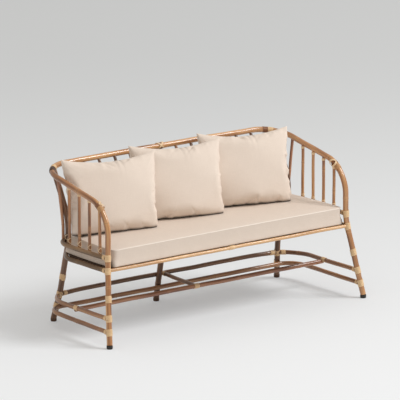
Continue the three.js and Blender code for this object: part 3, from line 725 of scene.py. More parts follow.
# The brown peel is painted shade: it makes bands that stand in for shadow on the poles.
painted_shade_peel = peel_finish("painted_shade_peel", ((112, 70, 42), (158, 106, 68)))


def point_value(start, name, kind="FLOAT_VECTOR"):
    """What the points of a geometry carry under a name."""
    return start.node("GeometryNodeInputNamedAttribute", {"data_type": kind}, {"Name": name})


def strip_tree(name, sockets, shape):
    """A tree that sweeps a flat strip along a curve, its flat side to the vector that each point names."""
    tree, start = new_tree(name, {**sockets, "Width": "Float", "Thickness": "Float", "Material": "Material"})
    curve = start.node("GeometryNodeSetCurveNormal", {"mode": "FREE"}, {
        "Curve": shape(start, curve_in(start)), "Normal": point_value(start, "out")})
    profile = start.node("GeometryNodeCurvePrimitiveQuadrilateral", {"mode": "RECTANGLE"}, {
        "Width": start.other("Thickness"), "Height": start.other("Width")})
    profile = start.node("GeometryNodeFilletCurve", {"mode": "POLY"}, {
        "Curve": profile, "Count": 2, "Radius": start.other("Thickness") * 0.45})
    skin = start.node("GeometryNodeCurveToMesh", {}, {
        "Curve": curve, "Profile Curve": profile, "Fill Caps": True})
    end_tree(start, skin, start.other("Material"))
    return tree


def wound(start, curve):
    """Turns a stretch of a pole's centre line into a helix, as far out as each point's reach says."""
    pitch = start.other("Pitch")
    curve = evenly(start, curve, pitch / turn_steps)
    turn = start.node("GeometryNodeSplineParameter").other("Length") / pitch * math.tau + start.other("Phase")
    normal = start.node("GeometryNodeInputNormal")
    across = start.vector("CROSS_PRODUCT", start.node("GeometryNodeInputTangent"), normal)
    out = start.vector("ADD", normal.scaled(start.math("COSINE", turn)),
                       across.scaled(start.math("SINE", turn)))
    curve = stored(start, curve, "out", out)
    offset = point_value(start, "out").scaled(point_value(start, "reach", "FLOAT"))
    return start.node("GeometryNodeSetPosition", {}, {"Geometry": curve, "Offset": offset})


winding_tree = strip_tree("winding", {"Pitch": "Float", "Phase": "Float"}, wound)


def distances(line):
    """How far each point of a line is from its start, along it."""
    gone = [0.0]
    for a, b in zip(line, line[1:]):
        gone.append(gone[-1] + (b - a).length)
    return gone


def point_along(line, distance):
    """The point of a line at this distance from its start."""
    gone = distances(line)
    i = next((i for i in range(1, len(line) - 1) if distance <= gone[i]), len(line) - 1)
    return line[i - 1].lerp(line[i], (distance - gone[i - 1]) / (gone[i] - gone[i - 1]))


def stretch(line, place, length):
    """The stretch of a line of this length that has its middle nearest to a place."""
    gone = distances(line)
    nearest = None
    for i, (a, b) in enumerate(zip(line, line[1:])):
        share = max(0.0, min(1.0, (place - a).dot(b - a) / (b - a).length_squared))
        gap = (a.lerp(b, share) - place).length
        if nearest is None or gap < nearest[0]:
            nearest = (gap, gone[i] + share * (b - a).length)
    first = max(0.0, min(gone[-1] - length, nearest[1] - length / 2))
    return [point_along(line, first + length * k / stretch_steps) for k in range(stretch_steps + 1)]


def winding(line, place, length, radius):
    """Where a winding goes: its stretch of a pole's line, and the pole's radius."""
    return stretch(line, place, length), radius


def add_windings(name, windings, finish=pale_peel, nodes=()):
    """One piece that holds all of these windings."""
    reach = [radius + peel_thickness / 2 + peel_stand for line, radius in windings for _ in line]
    mesh = grown(name, winding_tree, line_mesh([line for line, _ in windings], numbers={"reach": reach}), {
        "Pitch": peel_pitch, "Phase": peel_phase, "Width": peel_width, "Thickness": peel_thickness,
        "Material": finish})
    piece = new_object(name, mesh)
    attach(piece, "root")
    if nodes:
        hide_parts(*nodes)


binding_length = 0.0345
binding_heights = {"arm": arm_base_height, "seat": seat_rail_height, "middle": 0.238, "upper": upper_height,
                   "lower": lower_height}
bound_nodes = ("seat", "upper", "lower")
for side, turned in sides:
    leg = turned(arm_line)
    for joint, height in binding_heights.items():
        add_windings(f"binding_{joint}_{side}_peel",
                     [winding(leg, crossing(leg, 2, height), binding_length, pole_radius)], pale_peel,
                     [f"binding_{joint}_{side}"] if joint in bound_nodes else ())

side_binding_length = 0.016
side_binding_reach = pole_radius + side_binding_length / 2 + 0.001
leg_binding_length = 0.030
mid_binding_forward = 0.012
leg_wrap_length = 0.026
leg_wrap_reach = 0.033
cross_binding_length = 0.024
front_binding_length = 0.034
front_binding_x = 0.012
splice_binding_length = 0.028
dark_binding_length = 0.040
corner_shade_length = 0.030
corner_shade_reach = 0.044
side_windings = []
for side, turned in sides:
    for line in (arm_base_half[::-1], side_rail_line, upper_side_line, lower_half[::-1]):
        rail = turned(line)
        middle = point_along(rail, side_binding_reach)
        side_windings.append(winding(rail, middle, side_binding_length, rail_radius))
    leg = turned(back_leg_line)
    for height in (binding_heights["middle"], upper_height, lower_back_height):
        side_windings.append(winding(leg, crossing(leg, 2, height), leg_binding_length, leg_radius))
    stretcher = turned(upper_side_line)
    middle = crossing(stretcher, 1, mid_depth - mid_binding_forward + feet_middle)
    side_windings.append(winding(stretcher, middle, leg_binding_length, rail_radius))
    for rail in (stretcher[::-1], turned(upper_back_line[::-1])):
        middle = point_along(rail, leg_wrap_reach)
        side_windings.append(winding(rail, middle, leg_wrap_length, rail_radius))
top_rail_back = top_rail_line[::-1]
front_middle = Vector((front_binding_x, front_joint.y, front_rail_height))
side_windings += [
    winding(mid_line, cross_line[0], leg_binding_length, rail_radius),
    winding(cross_line, cross_line[-1], cross_binding_length, cross_radius),
    winding(front_rail_line, front_middle, front_binding_length, front_rail_radius),
    winding(top_rail_line, top_rail_line[0], splice_binding_length, pole_radius),
    winding(top_rail_back, top_rail_back[0], splice_binding_length, pole_radius),
]
add_windings("joint_bindings", side_windings)
left_arm = mirrored(arm_line)[::-1]
add_windings("corner_binding_dark", [winding(left_arm, left_arm[0], dark_binding_length, pole_radius)],
             dark_peel)
# A brown winding on the top rail at the right back corner is painted shade, for the shaded stretch of the
# rail beside the splice binding.
middle = point_along(top_rail_back, corner_shade_reach)
add_windings("corner_painted_shade_band", [winding(top_rail_back, middle, corner_shade_length, pole_radius)],
             painted_shade_peel)


# Lashings: narrow peel wound crosswise, two bands that lean opposite ways and cross on the outer side. They
# bind each spindle just above the arm base rail, the front spindle's head, and the middle of the top rail.
lash_width = 0.0036
lash_thickness = 0.0012
lash_steps = 36
lash_step = 0.0016
lash_stand = 0.0009
foot_lash_height = 0.023
foot_lash_spread = 0.0125
foot_lash_width = 0.0034
head_lash_spread = 0.0175
head_lash_width = 0.0042
head_lash_shifts = (-0.8 * lash_width, 0.8 * lash_width)
painted_shade_band_length = 0.020
arm_binding_drop = 0.027
arm_binding_length = 0.028
collar_length = 0.012
collar_drop = pole_radius + 0.007
low_collar_length = 0.007
low_collar_rise = tail + 0.041


def held(start, curve):
    """A lashing's curve is drawn as it is, in short steps."""
    return evenly(start, curve, lash_step)


lashing_tree = strip_tree("lashing", {}, held)
bright_peel = peel_finish("bright_peel", ((222, 184, 136), (252, 228, 190)))
tan_peel = peel_finish("tan_peel", ((168, 122, 78), (212, 166, 116)))


def crossed_bands(centre, along, facing, radius, spread):
    """Two bands round a rod that cross on the side that it faces, the second lying over the first."""
    facing = (facing - along * facing.dot(along)).normalized()
    third = along.cross(facing)
    bands = []
    for lean, stand in ((1, lash_stand), (-1, lash_stand + lash_thickness)):
        points, outs = [], []
        for k in range(lash_steps + 1):
            turn = math.tau * k / lash_steps
            out = facing * math.cos(turn) + third * math.sin(turn)
            points.append(centre + out * (radius + stand) + along * lean * spread * math.sin(turn))
            outs.append(out)
        bands.append((points, outs))
    return bands


def add_lashings(name, bands, width):
    """One piece that holds all of these bands."""
    mesh = line_mesh([points for points, _ in bands],
                     vectors={"out": [out for _, outs in bands for out in outs]})
    piece = new_object(name, grown(name, lashing_tree, mesh, {
        "Width": width, "Thickness": lash_thickness, "Material": bright_peel}))
    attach(piece, "root")


def run_at(line, place):
    """The direction of a line where it is nearest to a place."""
    short = stretch(line, place, 0.01)
    return (short[-1] - short[0]).normalized()


outward_from = Vector((0, arm_base_bow_depth, 0))
foot_bands = []
cane_lines = [turned(line) for _, turned in sides for line in arm_spindle_lines + [corner_cane_line]]
for line in cane_lines + back_spindle_lines:
    centre = Vector((line[0].x, line[0].y, arm_base_height + foot_lash_height))
    facing = centre - outward_from
    if abs(centre.x) > arm_base_half_width - 2 * lashed_inset:
        facing = Vector((centre.x, 0, 0))
    foot_bands += crossed_bands(centre, Vector((0, 0, 1)), facing, spindle_radius, foot_lash_spread)
add_lashings("spindle_foot_lashings", foot_bands, foot_lash_width)

# The three head lashings cross over a band of brown peel, which is painted shade: it stands in for the
# shadows between their strips.
bound_radius = pole_radius + peel_thickness
head_bands = []
painted_shade_bands = []
arm_bindings = []
for _, turned in sides:
    pole = turned(arm_line)
    head = turned(arm_spindle_lines[0])[-1]
    outer = Vector((math.copysign(0.6, head.x), -1, 0.7))
    along = run_at(pole, head)
    for shift in head_lash_shifts:
        head_bands += crossed_bands(head + along * shift, along, outer, bound_radius, head_lash_spread)
    painted_shade_bands.append(winding(pole, head, painted_shade_band_length, pole_radius))
    lower = head - along * math.copysign(arm_binding_drop, along.z)
    arm_bindings.append(winding(pole, lower, arm_binding_length, pole_radius))
head = back_spindle_lines[back_spindle_count // 2][-1]
for shift in head_lash_shifts:
    head_bands += crossed_bands(head + Vector((shift, 0, 0)), Vector((1, 0, 0)), Vector((0, -1, 0.35)),
                                bound_radius, head_lash_spread)
painted_shade_bands.append(winding(top_rail_line, head, painted_shade_band_length, pole_radius))
add_lashings("head_lashings", head_bands, head_lash_width)
add_windings("painted_shade_bands", painted_shade_bands, painted_shade_peel)
add_windings("arm_bindings", arm_bindings, tan_peel)

collars = []
for line in cane_lines:
    below = line[-1] + (line[-2] - line[-1]).normalized() * collar_drop
    collars.append(winding(line, below, collar_length, spindle_radius))
    if line[0].x > 0:
        low = line[0] + Vector((0, 0, low_collar_rise))
        collars.append(winding(line, low, low_collar_length, spindle_radius))
add_windings("spindle_collars", collars, bright_peel)


# Foot glides: turned plastic caps, black in front and brown behind, pushed on each leg's end and standing
# flat on the floor.
glide_radius = 0.0158
glide_foot_radius = 0.0135
glide_lip = 0.0025
glide_sides = 48


def plastic_finish(name, tones):
    """Moulded plastic: matt, finely grained and a little scuffed."""
    finish, start = new_material(name)
    place = object_place(start)
    grain = flecks(start, place, 900.0, 2.0)
    scuffs = flecks(start, place, 120.0, 3.0)
    dark, light = (plain_color(tone) for tone in tones)
    finish_material(start, principled(start, {
        "Base Color": mix_colors(start, scuffs, dark, light), "Roughness": 0.42 + scuffs * 0.2,
        "Normal": bumps(start, 0.25, 0.0002, grain)}))
    return finish


black_plastic = plastic_finish("black_plastic", ((22, 20, 19), (48, 44, 41)))
brown_plastic = plastic_finish("brown_plastic", ((66, 44, 30), (104, 72, 50)))


def turned_mesh(name, profile, centre, count):
    """A turned solid from its profile of (radius, height), closed with a flat face at each end."""
    mesh = bpy.data.meshes.new(name)
    spokes = [(math.cos(math.tau * k / count), math.sin(math.tau * k / count)) for k in range(count)]
    points = [centre + Vector((radius * x, radius * y, up)) for radius, up in profile for x, y in spokes]
    faces = []
    for ring in range(len(profile) - 1):
        for k in range(count):
            a, b = ring * count + k, ring * count + (k + 1) % count
            faces.append((a, b, b + count, a + count))
    last = (len(profile) - 1) * count
    faces.append(tuple(range(count))[::-1])
    faces.append(tuple(range(last, last + count)))
    mesh.from_pydata(points, [], faces)
    mesh.shade_smooth()
    return mesh


glide_profile = [
    (glide_foot_radius * 0.55, 0.0), (glide_foot_radius, 0.0), (glide_foot_radius + 0.0012, 0.0006),
    (glide_radius - 0.0012, 0.0030), (glide_radius, 0.0048), (glide_radius, glide_height - 0.0035),
    (glide_radius - 0.0006, glide_height - 0.0012), (glide_radius - glide_lip * 0.5, glide_height - 0.0002),
    (glide_radius - glide_lip, glide_height - 0.0001), (glide_radius * 0.5, glide_height - 0.0001)]
for node in ("front_left", "front_right", "back_left", "back_middle", "back_right"):
    low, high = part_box(f"foot_glide_{node}")
    middle = (Vector(low) + Vector(high)) / 2
    mesh = turned_mesh(f"glide_{node}", glide_profile, Vector((middle.x, middle.y, 0)), glide_sides)
    mesh.materials.append(black_plastic if node.startswith("front") else brown_plastic)
    glide = new_object(f"glide_{node}_cap", mesh)
    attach(glide, "root")
    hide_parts(f"foot_glide_{node}")


# Slat deck: planed softwood slats over three battens, which carry the cushion. It is notched
# round the legs and widened to the side rails. Its CAD shape stays, and gets its grain here, in tones made
# darker as painted shade for the shadow between the cushion and the side rails.
slat_finish, start = new_material("shade_darkened_softwood")
place = object_place(start)
rings = flecks(start, start.vector("MULTIPLY", place, (90, 7, 60)), 1.0, 3.0, Distortion=0.6)
fibres = flecks(start, start.vector("MULTIPLY", place, (700, 22, 500)), 1.0, 3.0)
# Painted shade: the slats' tones are darker than the wood, for the shadow under the cushion's edge.
tone = ramp(start, rings * 0.7 + fibres * 0.3, [
    (0.32, plain_color((58, 40, 26))), (0.5, plain_color((78, 56, 38))), (0.68, plain_color((98, 72, 50)))])
finish_material(start, principled(start, {
    "Base Color": tone, "Roughness": 0.62 + fibres * 0.15, "Normal": bumps(start, 0.3, 0.0004, fibres)}))
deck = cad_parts["slat_deck"]
deck.data.materials.clear()
deck.data.materials.append(slat_finish)


# Covers: each cushion is a woven outdoor cloth, sewn from panels. The cloth's threads follow each panel, as
# its "weave" map in metres says.
thread_pitch = 0.0016
# Painted shade takes a near-black tone. The seams take a pale tone that is partly their thread and partly a
# painted highlight.
painted_shade_tone = plain_color((22, 9, 3))
seam_thread_and_highlight_tone = plain_color((252, 244, 234))


def cloth_finish(name, tones):
    """A plain weave of slubby threads, matt, with a soft fuzz. Vertices say where painted shade darkens it,
    in creases and where it meets a leg or the seat, and where a seam's pale thread and a painted highlight
    show."""
    finish, start = new_material(name)
    weave = start.node("ShaderNodeUVMap", {"uv_map": "weave"})
    parts = start.node("ShaderNodeSeparateXYZ", {}, {"Vector": weave})
    warp, weft = (start.math("SINE", parts.other(axis) * (math.tau / thread_pitch)) for axis in ("X", "Y"))
    threads = warp * weft * 0.5 + 0.5
    warp_slubs = flecks(start, start.vector("MULTIPLY", weave, (620, 26, 0)), 1.0, 2.0)
    weft_slubs = flecks(start, start.vector("MULTIPLY", weave, (26, 620, 0)), 1.0, 2.0)
    mottle = flecks(start, weave, 9.0, 3.0)
    dark, light = (plain_color(tone) for tone in tones)
    share = warp_slubs * 0.35 + weft_slubs * 0.35 + mottle * 0.2 + threads * 0.1
    color = mix_colors(start, share, dark, light)
    color = mix_colors(start, carried(start, "crease"), color, painted_shade_tone)
    color = mix_colors(start, carried(start, "seam"), color, seam_thread_and_highlight_tone)
    height = threads * 0.6 + warp_slubs * 0.5 + weft_slubs * 0.5
    finish_material(start, principled(start, {
        "Base Color": color, "Roughness": 0.88, "Normal": bumps(start, 0.35, 0.0005, height),
        "Specular IOR Level": 0.25, "Sheen Weight": 0.03, "Sheen Roughness": 0.6}))
    return finish


def sewn_cover(columns, rows, levels):
    """The faces of two panels, sewn edge to edge, or to a strip of some levels between them, and what each
    vertex is: its panel (+1 the first, -1 the second, 0 the strip), its column and row, and its level."""
    at, spots, faces, kinds = {}, [], [], []

    def vertex(panel, i, k, level=None):
        if i in (0, columns) or k in (0, rows):
            level = level if level is not None else (0 if panel > 0 else levels)
            spot = (0, i, k, level)
        else:
            spot = (panel, i, k, None)
        if spot not in at:
            at[spot] = len(spots)
            spots.append(spot)
        return at[spot]

    for panel in (1, -1):
        for i in range(columns):
            for k in range(rows):
                face = [vertex(panel, i, k), vertex(panel, i + 1, k), vertex(panel, i + 1, k + 1),
                        vertex(panel, i, k + 1)]
                faces.append(face if panel > 0 else face[::-1])
                kinds.append(panel)
    rim = ([(i, 0) for i in range(columns)] + [(columns, k) for k in range(rows)]
           + [(columns - i, rows) for i in range(columns)] + [(0, rows - k) for k in range(rows)])
    for a, b in zip(rim, rim[1:] + rim[:1]):
        for level in range(levels):
            faces.append([vertex(0, *a, level + 1), vertex(0, *b, level + 1), vertex(0, *b, level),
                          vertex(0, *a, level)])
            kinds.append(0)
    return spots, faces, kinds, rim


def add_shares(mesh, name, shares):
    """Gives each vertex a share from 0 to 1, which the cloth's finish reads by name."""
    layer = mesh.attributes.new(name, "FLOAT", "POINT")
    layer.data.foreach_set("value", shares)


def add_weave(mesh, faces, kinds, panel_map, strip_map=None):
    """Gives each face's corners their place on the flat cloth, in metres."""
    layer = mesh.uv_layers.new(name="weave")
    places = [place for face, kind in zip(faces, kinds)
              for place in ([panel_map(vertex) for vertex in face] if kind else strip_map(face))]
    for corner, place in zip(layer.data, places):
        corner.uv = place


def add_cover(name, mesh, finish):
    """A cover as an object in its cloth, its cells halved once more when it is drawn."""
    mesh.materials.append(finish)
    mesh.shade_smooth()
    cover = new_object(name, mesh)
    finer = cover.modifiers.new("finer", "SUBSURF")
    finer.levels = finer.render_levels = 1
    return cover


# Seat cushion: foam in a boxed cover, a little narrower at the back. Top and bottom panels are sewn to the
# side strip with a small ridge at the seam, which the thread puckers. It lies loose on the slats.
seat_low, seat_high = (Vector(corner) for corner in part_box("seat_cushion"))
seat_front_half = seat_half_width - 0.024
seat_back_half = seat_front_half - 0.026
seat_left_gap = 0.008
seat_crown = 0.014
seat_crown_run = 0.042
seat_unevenness = 0.0013
seat_uneven_scale = 4.5
seat_corner_radius = 0.034
seat_corner_steps = 12
seat_draw_in = 0.003
seat_side_bow = 0.008
seat_strip_hollow = 0.0035
seat_low_bulge = 0.012
seat_back_bulge = 1.5
bulge_start = 0.47
bulge_run = 0.33
seat_cell = 0.010
seat_edge_round = 0.006
seat_seam_thread_and_highlight = 0.8
seam_ridge = 0.0016
pucker_depth = 0.0011
pucker_run = 0.016
panel_pucker_scale = 32
strip_pucker_scale = 34
leg_shade = 0.85
leg_shade_reach = 0.018
leg_shade_gain = 3
seat_strip_shares = (0, 0.03, 0.09, 0.2, 0.36, 0.54, 0.72, 0.86, 0.95, 1)


def corner_arc(before, corner, after):
    """A panel's corner, rounded by a curve that leaves its two edges smoothly."""
    first = corner + (before - corner).normalized() * seat_corner_radius
    last = corner + (after - corner).normalized() * seat_corner_radius
    shares = [k / seat_corner_steps for k in range(seat_corner_steps + 1)]
    return [first.lerp(corner, share).lerp(corner.lerp(last, share), share) for share in shares]


seat_corners = [Vector((x, y, 0)) for x, y in (
    (seat_left_gap - seat_front_half, seat_low.y), (seat_front_half, seat_low.y),
    (seat_back_half, seat_high.y), (seat_left_gap - seat_back_half, seat_high.y))]
seat_arcs = [corner_arc(seat_corners[k - 1], seat_corners[k], seat_corners[(k + 1) % 4]) for k in range(4)]
seat_columns = round(2 * seat_front_half / seat_cell)
seat_rows = round((seat_high.y - seat_low.y) / seat_cell)
halfway = seat_corner_steps // 2
seat_edges = []
for k, (steps, draw) in enumerate(((seat_columns, seat_draw_in), (seat_rows, -seat_side_bow)) * 2):
    line = seat_arcs[k][halfway:] + seat_arcs[(k + 1) % 4][:halfway + 1]
    length = distances(line)[-1]
    points = [point_along(line, length * i / steps) for i in range(steps + 1)]
    inward = Vector((0, 0, 1)).cross(points[-1] - points[0]).normalized()
    seat_edges.append([point + inward * draw * math.sin(math.pi * i / steps)
                       for i, point in enumerate(points)])
front_edge, right_edge = seat_edges[0], seat_edges[1]
back_edge, left_edge = seat_edges[2][::-1], seat_edges[3][::-1]


def eased(share):
    """A share held between 0 and 1, that starts and ends gently."""
    share = max(0.0, min(1.0, share))
    return share * share * (3 - 2 * share)


def on_panel(i, k):
    """A place on the flat panel, between its four edges."""
    u, v = i / seat_columns, k / seat_rows
    across = front_edge[i].lerp(back_edge[i], v)
    along = left_edge[k].lerp(right_edge[k], u)
    flat = front_edge[0].lerp(front_edge[-1], u).lerp(back_edge[0].lerp(back_edge[-1], u), v)
    return across + along - flat


last_level = len(seat_strip_shares) - 1
seat_spots, seat_faces, seat_kinds, seat_rim = sewn_cover(seat_columns, seat_rows, last_level)
rim_index = {spot: n for n, spot in enumerate(seat_rim)}
rim_run = distances([on_panel(*spot) for spot in seat_rim])
seat_edge_top = seat_high.z - seat_crown


def on_top(place, i, k):
    """A point of the top panel: crowned, a little uneven, and puckered near its seams."""
    gaps = (min(i, seat_columns - i) * seat_cell, min(k, seat_rows - k) * seat_cell)
    crown = math.prod(1 - math.exp(-gap / seat_crown_run) for gap in gaps)
    pucker = noise.noise(place * panel_pucker_scale) * math.exp(-min(gaps) / pucker_run) * pucker_depth
    uneven = noise.noise(place * seat_uneven_scale) * seat_unevenness * crown
    return (place.x, place.y, min(seat_edge_top + seat_crown * crown + pucker + uneven, seat_high.z))


def on_strip(place, i, k, level):
    """A point of the side strip: hollow between its two seams, and full low down at the cushion's ends."""
    share = seat_strip_shares[level]
    n = rim_index[(i, k)]
    before, after = on_panel(*seat_rim[n - 1]), on_panel(*seat_rim[(n + 1) % len(seat_rim)])
    outward = Vector((0, 0, -1)).cross(after - before).normalized()
    up = seat_edge_top - share * (seat_edge_top - seat_low.z)
    if level == 0:
        inset = -seam_ridge
        up += seam_ridge * 0.6
    elif level == last_level:
        inset = seat_edge_round * 0.5
    else:
        edge_gap = min(share, 1 - share) * (seat_edge_top - seat_low.z)
        inset = (max(0, 1 - edge_gap / seat_edge_round) ** 2 * seat_edge_round * 0.35
                 + seat_strip_hollow * math.sin(math.pi * share)
                 + noise.noise(Vector((rim_run[n] * strip_pucker_scale, share * 1.5, 7)))
                 * math.exp(-edge_gap / pucker_run) * pucker_depth)
    backward = (place.y - seat_low.y) / (seat_high.y - seat_low.y)
    inset -= (seat_low_bulge * (1 + seat_back_bulge * backward) * abs(outward.x)
              * eased((share - bulge_start) / bulge_run))
    place = place - outward * inset
    return (place.x, place.y, up)


seat_points = []
for panel, i, k, level in seat_spots:
    place = on_panel(i, k)
    if panel > 0:
        seat_points.append(on_top(place, i, k))
    elif panel < 0:
        seat_points.append((place.x, place.y, seat_low.z))
    else:
        seat_points.append(on_strip(place, i, k, level))
seat_mesh = bpy.data.meshes.new("seat_cushion_cover")
seat_mesh.from_pydata(seat_points, [], seat_faces)


def seat_strip_map(face):
    """The strip's own map: how far round the cushion, and how far up."""
    runs = [rim_run[rim_index[seat_spots[vertex][1:3]]] for vertex in face]
    if max(runs) - min(runs) > 1:
        runs = [run if run > 1 else rim_run[-1] + seat_cell for run in runs]
    return [(run, seat_points[vertex][2]) for run, vertex in zip(runs, face)]


def stitch_share(i, k):
    """How much of a seam's pale thread and painted highlight shows, from stitch to stitch."""
    return seat_seam_thread_and_highlight * (0.75 + 0.5 * noise.noise(Vector((i, k, 3))))


def leg_shadow(x, y):
    """How dark the painted shade is on the strip where a front leg stands close to it."""
    gap = Vector((abs(x) - seat_joint.x, y - seat_joint.y)).length - pole_radius
    return min(leg_shade, leg_shade_gain * math.exp(-(gap / leg_shade_reach) ** 2))


add_weave(seat_mesh, seat_faces, seat_kinds, lambda vertex: seat_points[vertex][:2], seat_strip_map)
# The top seam is pale, partly from its thread and partly as a painted highlight along the ridge.
add_shares(seat_mesh, "seam", [0.0 if panel or level else stitch_share(i, k)
                               for panel, i, k, level in seat_spots])
# Painted shade: the strip darkens where a front leg stands close to it.
add_shares(seat_mesh, "crease", [0.0 if panel else leg_shadow(*point[:2])
                                 for point, (panel, *_) in zip(seat_points, seat_spots)])
seat_finish = cloth_finish("seat_cloth", ((206, 190, 176), (234, 220, 207)))
seat = add_cover("seat_cushion_cover", seat_mesh, seat_finish)
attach(seat, "seat_cushion")
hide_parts("seat_cushion")


# Pillows: two oblong panels sewn edge to edge and filled with fibre, so that the edges draw in between
# pointed corners and pleat. They stand loose on the cushion, lean back and are turned a little to the left.
pillow_width = 2 * seat_front_half / 3 - 0.002
pillow_height = 0.390
pillow_thickness = 0.165
pillow_settle = 0.012
pillow_cell = 0.0065
flat_width = pillow_width * 1.04
flat_height = pillow_height * 1.057
least_loft = 0.004
middle_loft = 0.02
loft_unevenness = 0.002
fill_frames = 18
fill_pressure = 4.0
cloth_stiffness = 20.0
side_draw_in = 0.016
top_draw_in = 0.026
bottom_draw_in = 0.004
draw_power = 1.5
bottom_fullness = 0.10
ear_lift = 0.010
slump_top = 0.75
slump_run = 0.65
low_corner_draw = 0.012
low_corner_lift = 0.006
low_corner_power = 7
tuck_depth = 0.014
tuck_half_width = 0.0050
tuck_run = 0.030
tuck_shade = 0.65
tuck_places = (0.10, 0.21)
pucker_reach = 0.022
pucker_margin = 0.012
pillow_pucker = 0.0042
pillow_pucker_scale = 46
pillow_lean = 16
contact_shade_rise = 0.010
pillow_seam_thread_and_highlight = 0.35

# Each pillow's turn in degrees, the seed of its folds, how far it spreads at the top, and how far its left
# side slumps out below that.
pillow_poses = {"left": (-13.5, 1.0, 0.014, 0.013), "middle": (-15.5, 4.0, 0.006, 0),
                "right": (-18.0, 9.0, 0.005, 0)}
pillow_columns = round(flat_width / pillow_cell)
pillow_rows = round(flat_height / pillow_cell)
pillow_spots, pillow_faces, pillow_kinds, _ = sewn_cover(pillow_columns, pillow_rows, 0)


def pillow_shares(spot):
    """A vertex's place on its panel, each from -1 to 1."""
    _, i, k, _ = spot
    return 2 * i / pillow_columns - 1, 2 * k / pillow_rows - 1


def loose_case(name, seed):
    """The empty case, laid flat, with a little loft for the filling to start from."""
    points = []
    for spot in pillow_spots:
        u, v = pillow_shares(spot)
        loft = (least_loft + middle_loft * math.sqrt((1 - u * u) * (1 - v * v))
                + loft_unevenness * noise.noise(Vector((3 * u, 3 * v, seed))))
        points.append((u * flat_width / 2, -spot[0] * loft, v * flat_height / 2))
    mesh = bpy.data.meshes.new(name)
    mesh.from_pydata(points, [], pillow_faces)
    add_weave(mesh, pillow_faces, pillow_kinds, lambda vertex: points[vertex][::2])
    return mesh


def filled(mesh):
    """The case blown up by its filling: a short cloth simulation, taken as a plain mesh."""
    case = new_object("case", mesh)
    step = case.modifiers.new("fill", "CLOTH")
    cloth = step.settings
    cloth.quality = 5
    cloth.mass = 0.3
    cloth.tension_stiffness = cloth.compression_stiffness = cloth_stiffness
    cloth.shear_stiffness = cloth_stiffness / 3
    cloth.bending_stiffness = 0.3
    cloth.tension_damping = cloth.compression_damping = cloth.shear_damping = 5
    cloth.air_damping = 1
    cloth.use_pressure = True
    cloth.uniform_pressure_force = fill_pressure
    cloth.effector_weights.gravity = 0
    step.collision_settings.use_collision = False
    step.collision_settings.use_self_collision = False
    step.point_cache.frame_start = 1
    step.point_cache.frame_end = fill_frames
    for moment in range(1, fill_frames + 1):
        scene.frame_set(moment)
    result = plain_mesh(case)
    scene.frame_set(1)
    return result


def tuck_share(spot):
    """How deep in the top edge's sewn tucks a vertex lies, from 0 to 1."""
    u, v = pillow_shares(spot)
    across = sum(math.exp(-((u - place) * pillow_width / 2 / tuck_half_width) ** 2) for place in tuck_places)
    return across * math.exp(-(1 - v) * pillow_height / 2 / tuck_run)


def gathers(along, across, gap, seed):
    """The small folds that an edge's seam draws, which die out inwards."""
    folds = noise.noise(Vector((along * pillow_pucker_scale, across * 2, seed)))
    return folds * math.exp(-gap / pucker_reach)


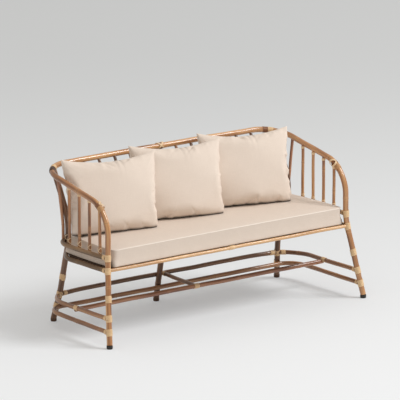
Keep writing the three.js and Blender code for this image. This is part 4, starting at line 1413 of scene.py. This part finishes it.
def settled(mesh, spread, slump, seed):
    """Brings a filled case to its real size, with each edge drawn in and gathered as the real one is."""
    half_width, half_thickness, half_height = pillow_width / 2, pillow_thickness / 2, pillow_height / 2
    half_size = (half_width, half_thickness, half_height)
    size = [max(abs(vertex.co[axis]) for vertex in mesh.vertices) for axis in range(3)]
    for vertex in mesh.vertices:
        vertex.co = [vertex.co[axis] * half_size[axis] / size[axis] for axis in range(3)]
    edge = {(i, k): vertex.co.copy() for vertex, (panel, i, k, _) in zip(mesh.vertices, pillow_spots)
            if not panel}
    for vertex, spot in zip(mesh.vertices, pillow_spots):
        u, v = pillow_shares(spot)
        _, i, k, _ = spot
        left, right = edge[(0, k)].x, edge[(pillow_columns, k)].x
        low, high = edge[(i, 0)].z, edge[(i, pillow_rows)].z
        want_side = half_width - side_draw_in * (1 - v * v)
        want_top = half_height - top_draw_in * (1 - u * u)
        want_low = half_height - bottom_draw_in * (1 - u * u)
        push_x = (want_side - right) * (u + 1) / 2 - (want_side + left) * (1 - u) / 2
        push_z = (want_top - high) * (v + 1) / 2 - (want_low + low) * (1 - v) / 2
        vertex.co.x += push_x * abs(u) ** draw_power
        vertex.co.z += push_z * abs(v) ** draw_power
        vertex.co.y *= 1 - bottom_fullness * v
        vertex.co.x += spread * u * v - slump * max(0, -u) ** 1.5 * eased((slump_top - v) / slump_run)
        vertex.co.z += ear_lift * u * u * max(0, v) ** 3
        low_corner = max(0, u) ** low_corner_power * max(0, -v) ** low_corner_power
        vertex.co.x -= low_corner_draw * low_corner
        vertex.co.z += low_corner_lift * low_corner
        if spot[0]:
            side_gap = (1 - abs(u)) * half_width
            end_gap = min((1 - v) * half_height, (1 + v) * half_height)
            folds = gathers(v * half_height, u, side_gap, seed) + gathers(u * half_width, v, end_gap, -seed)
            inward = tuck_share(spot) * tuck_depth + folds * pillow_pucker
            vertex.co.y += spot[0] * inward * min(1, min(side_gap, end_gap) / pucker_margin)
    return mesh


pillow_finish = cloth_finish("pillow_cloth", ((214, 198, 184), (241, 227, 214)))
for side, (turn, seed, spread, slump) in pillow_poses.items():
    case = loose_case(f"pillow_{side}_cover", seed)
    mesh = settled(filled(case), spread, slump, seed)
    low, high = (Vector(corner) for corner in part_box(f"pillow_{side}"))
    centre = (low + high) / 2 - Vector((0, 0, pillow_settle / 2))
    lay = Matrix.Rotation(math.radians(turn), 3, "Z") @ Matrix.Rotation(-math.radians(pillow_lean), 3, "X")
    for vertex in mesh.vertices:
        vertex.co = centre + lay @ vertex.co
        vertex.co.z = max(vertex.co.z, low.z)
    # Painted shade: dark where the pillow sits on the seat, and in the tucks of its top edge.
    add_shares(mesh, "crease", [
        max(math.exp(-((vertex.co.z - low.z) / contact_shade_rise) ** 2), tuck_shade * tuck_share(spot))
        for vertex, spot in zip(mesh.vertices, pillow_spots)])
    # The edge seam is pale, partly from its thread and partly as a painted highlight.
    add_shares(mesh, "seam", [
        0.0 if panel or not k else pillow_seam_thread_and_highlight * (0.6 + noise.noise(Vector((i, k, seed))))
        for panel, i, k, _ in pillow_spots])
    pillow = add_cover(f"pillow_{side}_cover", mesh, pillow_finish)
    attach(pillow, f"pillow_{side}")
    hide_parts(f"pillow_{side}")
